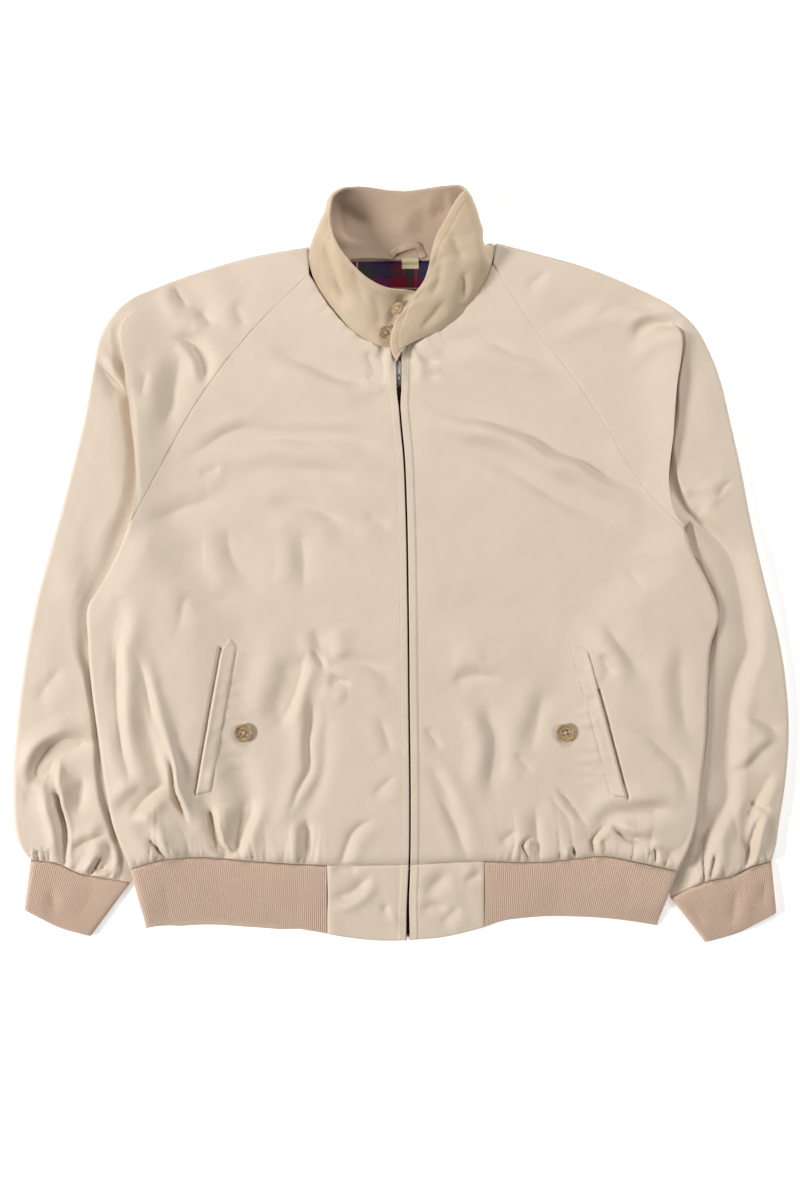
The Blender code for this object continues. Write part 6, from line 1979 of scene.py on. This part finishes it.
class JACKET_OT_back(bpy.types.Operator):
    """Lay the back, the sleeve backs and the zip's tapes"""

    bl_idname = "jacket.back"
    bl_label = "Back"

    def execute(self, context):
        lay_back()
        return {"FINISHED"}


class JACKET_OT_sleeves(bpy.types.Operator):
    """Sew both sleeve fronts"""

    bl_idname = "jacket.sleeves"
    bl_label = "Sleeves"

    def execute(self, context):
        for side in OUTWARD:
            sew_sleeve(side)
        return {"FINISHED"}


class JACKET_OT_fronts(bpy.types.Operator):
    """Sew both fronts"""

    bl_idname = "jacket.fronts"
    bl_label = "Fronts"

    def execute(self, context):
        for side in OUTWARD:
            sew_front(side)
        return {"FINISHED"}


class JACKET_OT_ribs(bpy.types.Operator):
    """Knit the waistband's strips"""

    bl_idname = "jacket.ribs"
    bl_label = "Waistband ribs"

    def execute(self, context):
        sew_ribs()
        return {"FINISHED"}


class JACKET_OT_cuffs(bpy.types.Operator):
    """Knit both cuffs"""

    bl_idname = "jacket.cuffs"
    bl_label = "Cuffs"

    def execute(self, context):
        sew_cuffs()
        return {"FINISHED"}


class JACKET_OT_tabs(bpy.types.Operator):
    """Sew the cloth tabs beside the zip"""

    bl_idname = "jacket.tabs"
    bl_label = "Waistband tabs"

    def execute(self, context):
        sew_tabs()
        return {"FINISHED"}


class JACKET_OT_collar(bpy.types.Operator):
    """Sew the collar's two plies"""

    bl_idname = "jacket.collar"
    bl_label = "Collar"

    def execute(self, context):
        sew_collar()
        return {"FINISHED"}


class JACKET_OT_neck(bpy.types.Operator):
    """Line the neck, with its hanger loop and blank label"""

    bl_idname = "jacket.neck"
    bl_label = "Lining, loop and label"

    def execute(self, context):
        line_neck()
        return {"FINISHED"}


class JACKET_OT_pockets(bpy.types.Operator):
    """Sew the folded strips of the pockets"""

    bl_idname = "jacket.pockets"
    bl_label = "Pockets"

    def execute(self, context):
        sew_welts()
        return {"FINISHED"}


class JACKET_OT_buttons(bpy.types.Operator):
    """Turn the buttons and tie them on"""

    bl_idname = "jacket.buttons"
    bl_label = "Buttons"

    def execute(self, context):
        sew_buttons(context.scene.jacket_trims)
        return {"FINISHED"}


class JACKET_OT_zip(bpy.types.Operator):
    """Make the zip's teeth, slider and pull tab"""

    bl_idname = "jacket.zip"
    bl_label = "Zip"

    def execute(self, context):
        close_zip(context.scene.jacket_trims)
        return {"FINISHED"}


class JACKET_OT_stitching(bpy.types.Operator):
    """Topstitch zip, seams, collar and pockets"""

    bl_idname = "jacket.stitching"
    bl_label = "Topstitching"

    def execute(self, context):
        topstitch(context.scene.jacket_trims)
        return {"FINISHED"}


class JACKET_OT_stage(bpy.types.Operator):
    """Set up floor, lights and camera"""

    bl_idname = "jacket.stage"
    bl_label = "Stage"

    def execute(self, context):
        dress_stage(context.scene.jacket_stage)
        return {"FINISHED"}


STEPS = [JACKET_OT_back, JACKET_OT_sleeves, JACKET_OT_fronts, JACKET_OT_ribs, JACKET_OT_cuffs, JACKET_OT_tabs,
         JACKET_OT_collar, JACKET_OT_neck, JACKET_OT_pockets, JACKET_OT_buttons, JACKET_OT_zip,
         JACKET_OT_stitching, JACKET_OT_stage]


class JACKET_PT_build(bpy.types.Panel):
    """The jacket's colours, sizes and steps"""

    bl_label = "Harrington jacket"
    bl_idname = "JACKET_PT_build"
    bl_space_type = "VIEW_3D"
    bl_region_type = "UI"
    bl_category = "Jacket"

    def draw(self, context):
        scene = context.scene
        for group in (scene.jacket_cloth, scene.jacket_trims, scene.jacket_stage):
            column = self.layout.column(align=True)
            for key in group.bl_rna.properties.keys():
                if key not in ("rna_type", "name"):
                    column.prop(group, key)
        for step in STEPS:
            self.layout.operator(step.bl_idname)


CLASSES = [JacketCloth, JacketTrims, JacketStage, *STEPS, JACKET_PT_build]


def register():
    for made in CLASSES:
        bpy.utils.register_class(made)
    bpy.types.Scene.jacket_cloth = PointerProperty(type=JacketCloth)
    bpy.types.Scene.jacket_trims = PointerProperty(type=JacketTrims)
    bpy.types.Scene.jacket_stage = PointerProperty(type=JacketStage)


def unregister():
    for name in ("jacket_cloth", "jacket_trims", "jacket_stage"):
        delattr(bpy.types.Scene, name)
    for made in reversed(CLASSES):
        bpy.utils.unregister_class(made)


def main():
    register()
    for step in STEPS:
        getattr(bpy.ops.jacket, step.bl_idname.split(".")[1])()


if __name__ == "__main__":
    main()
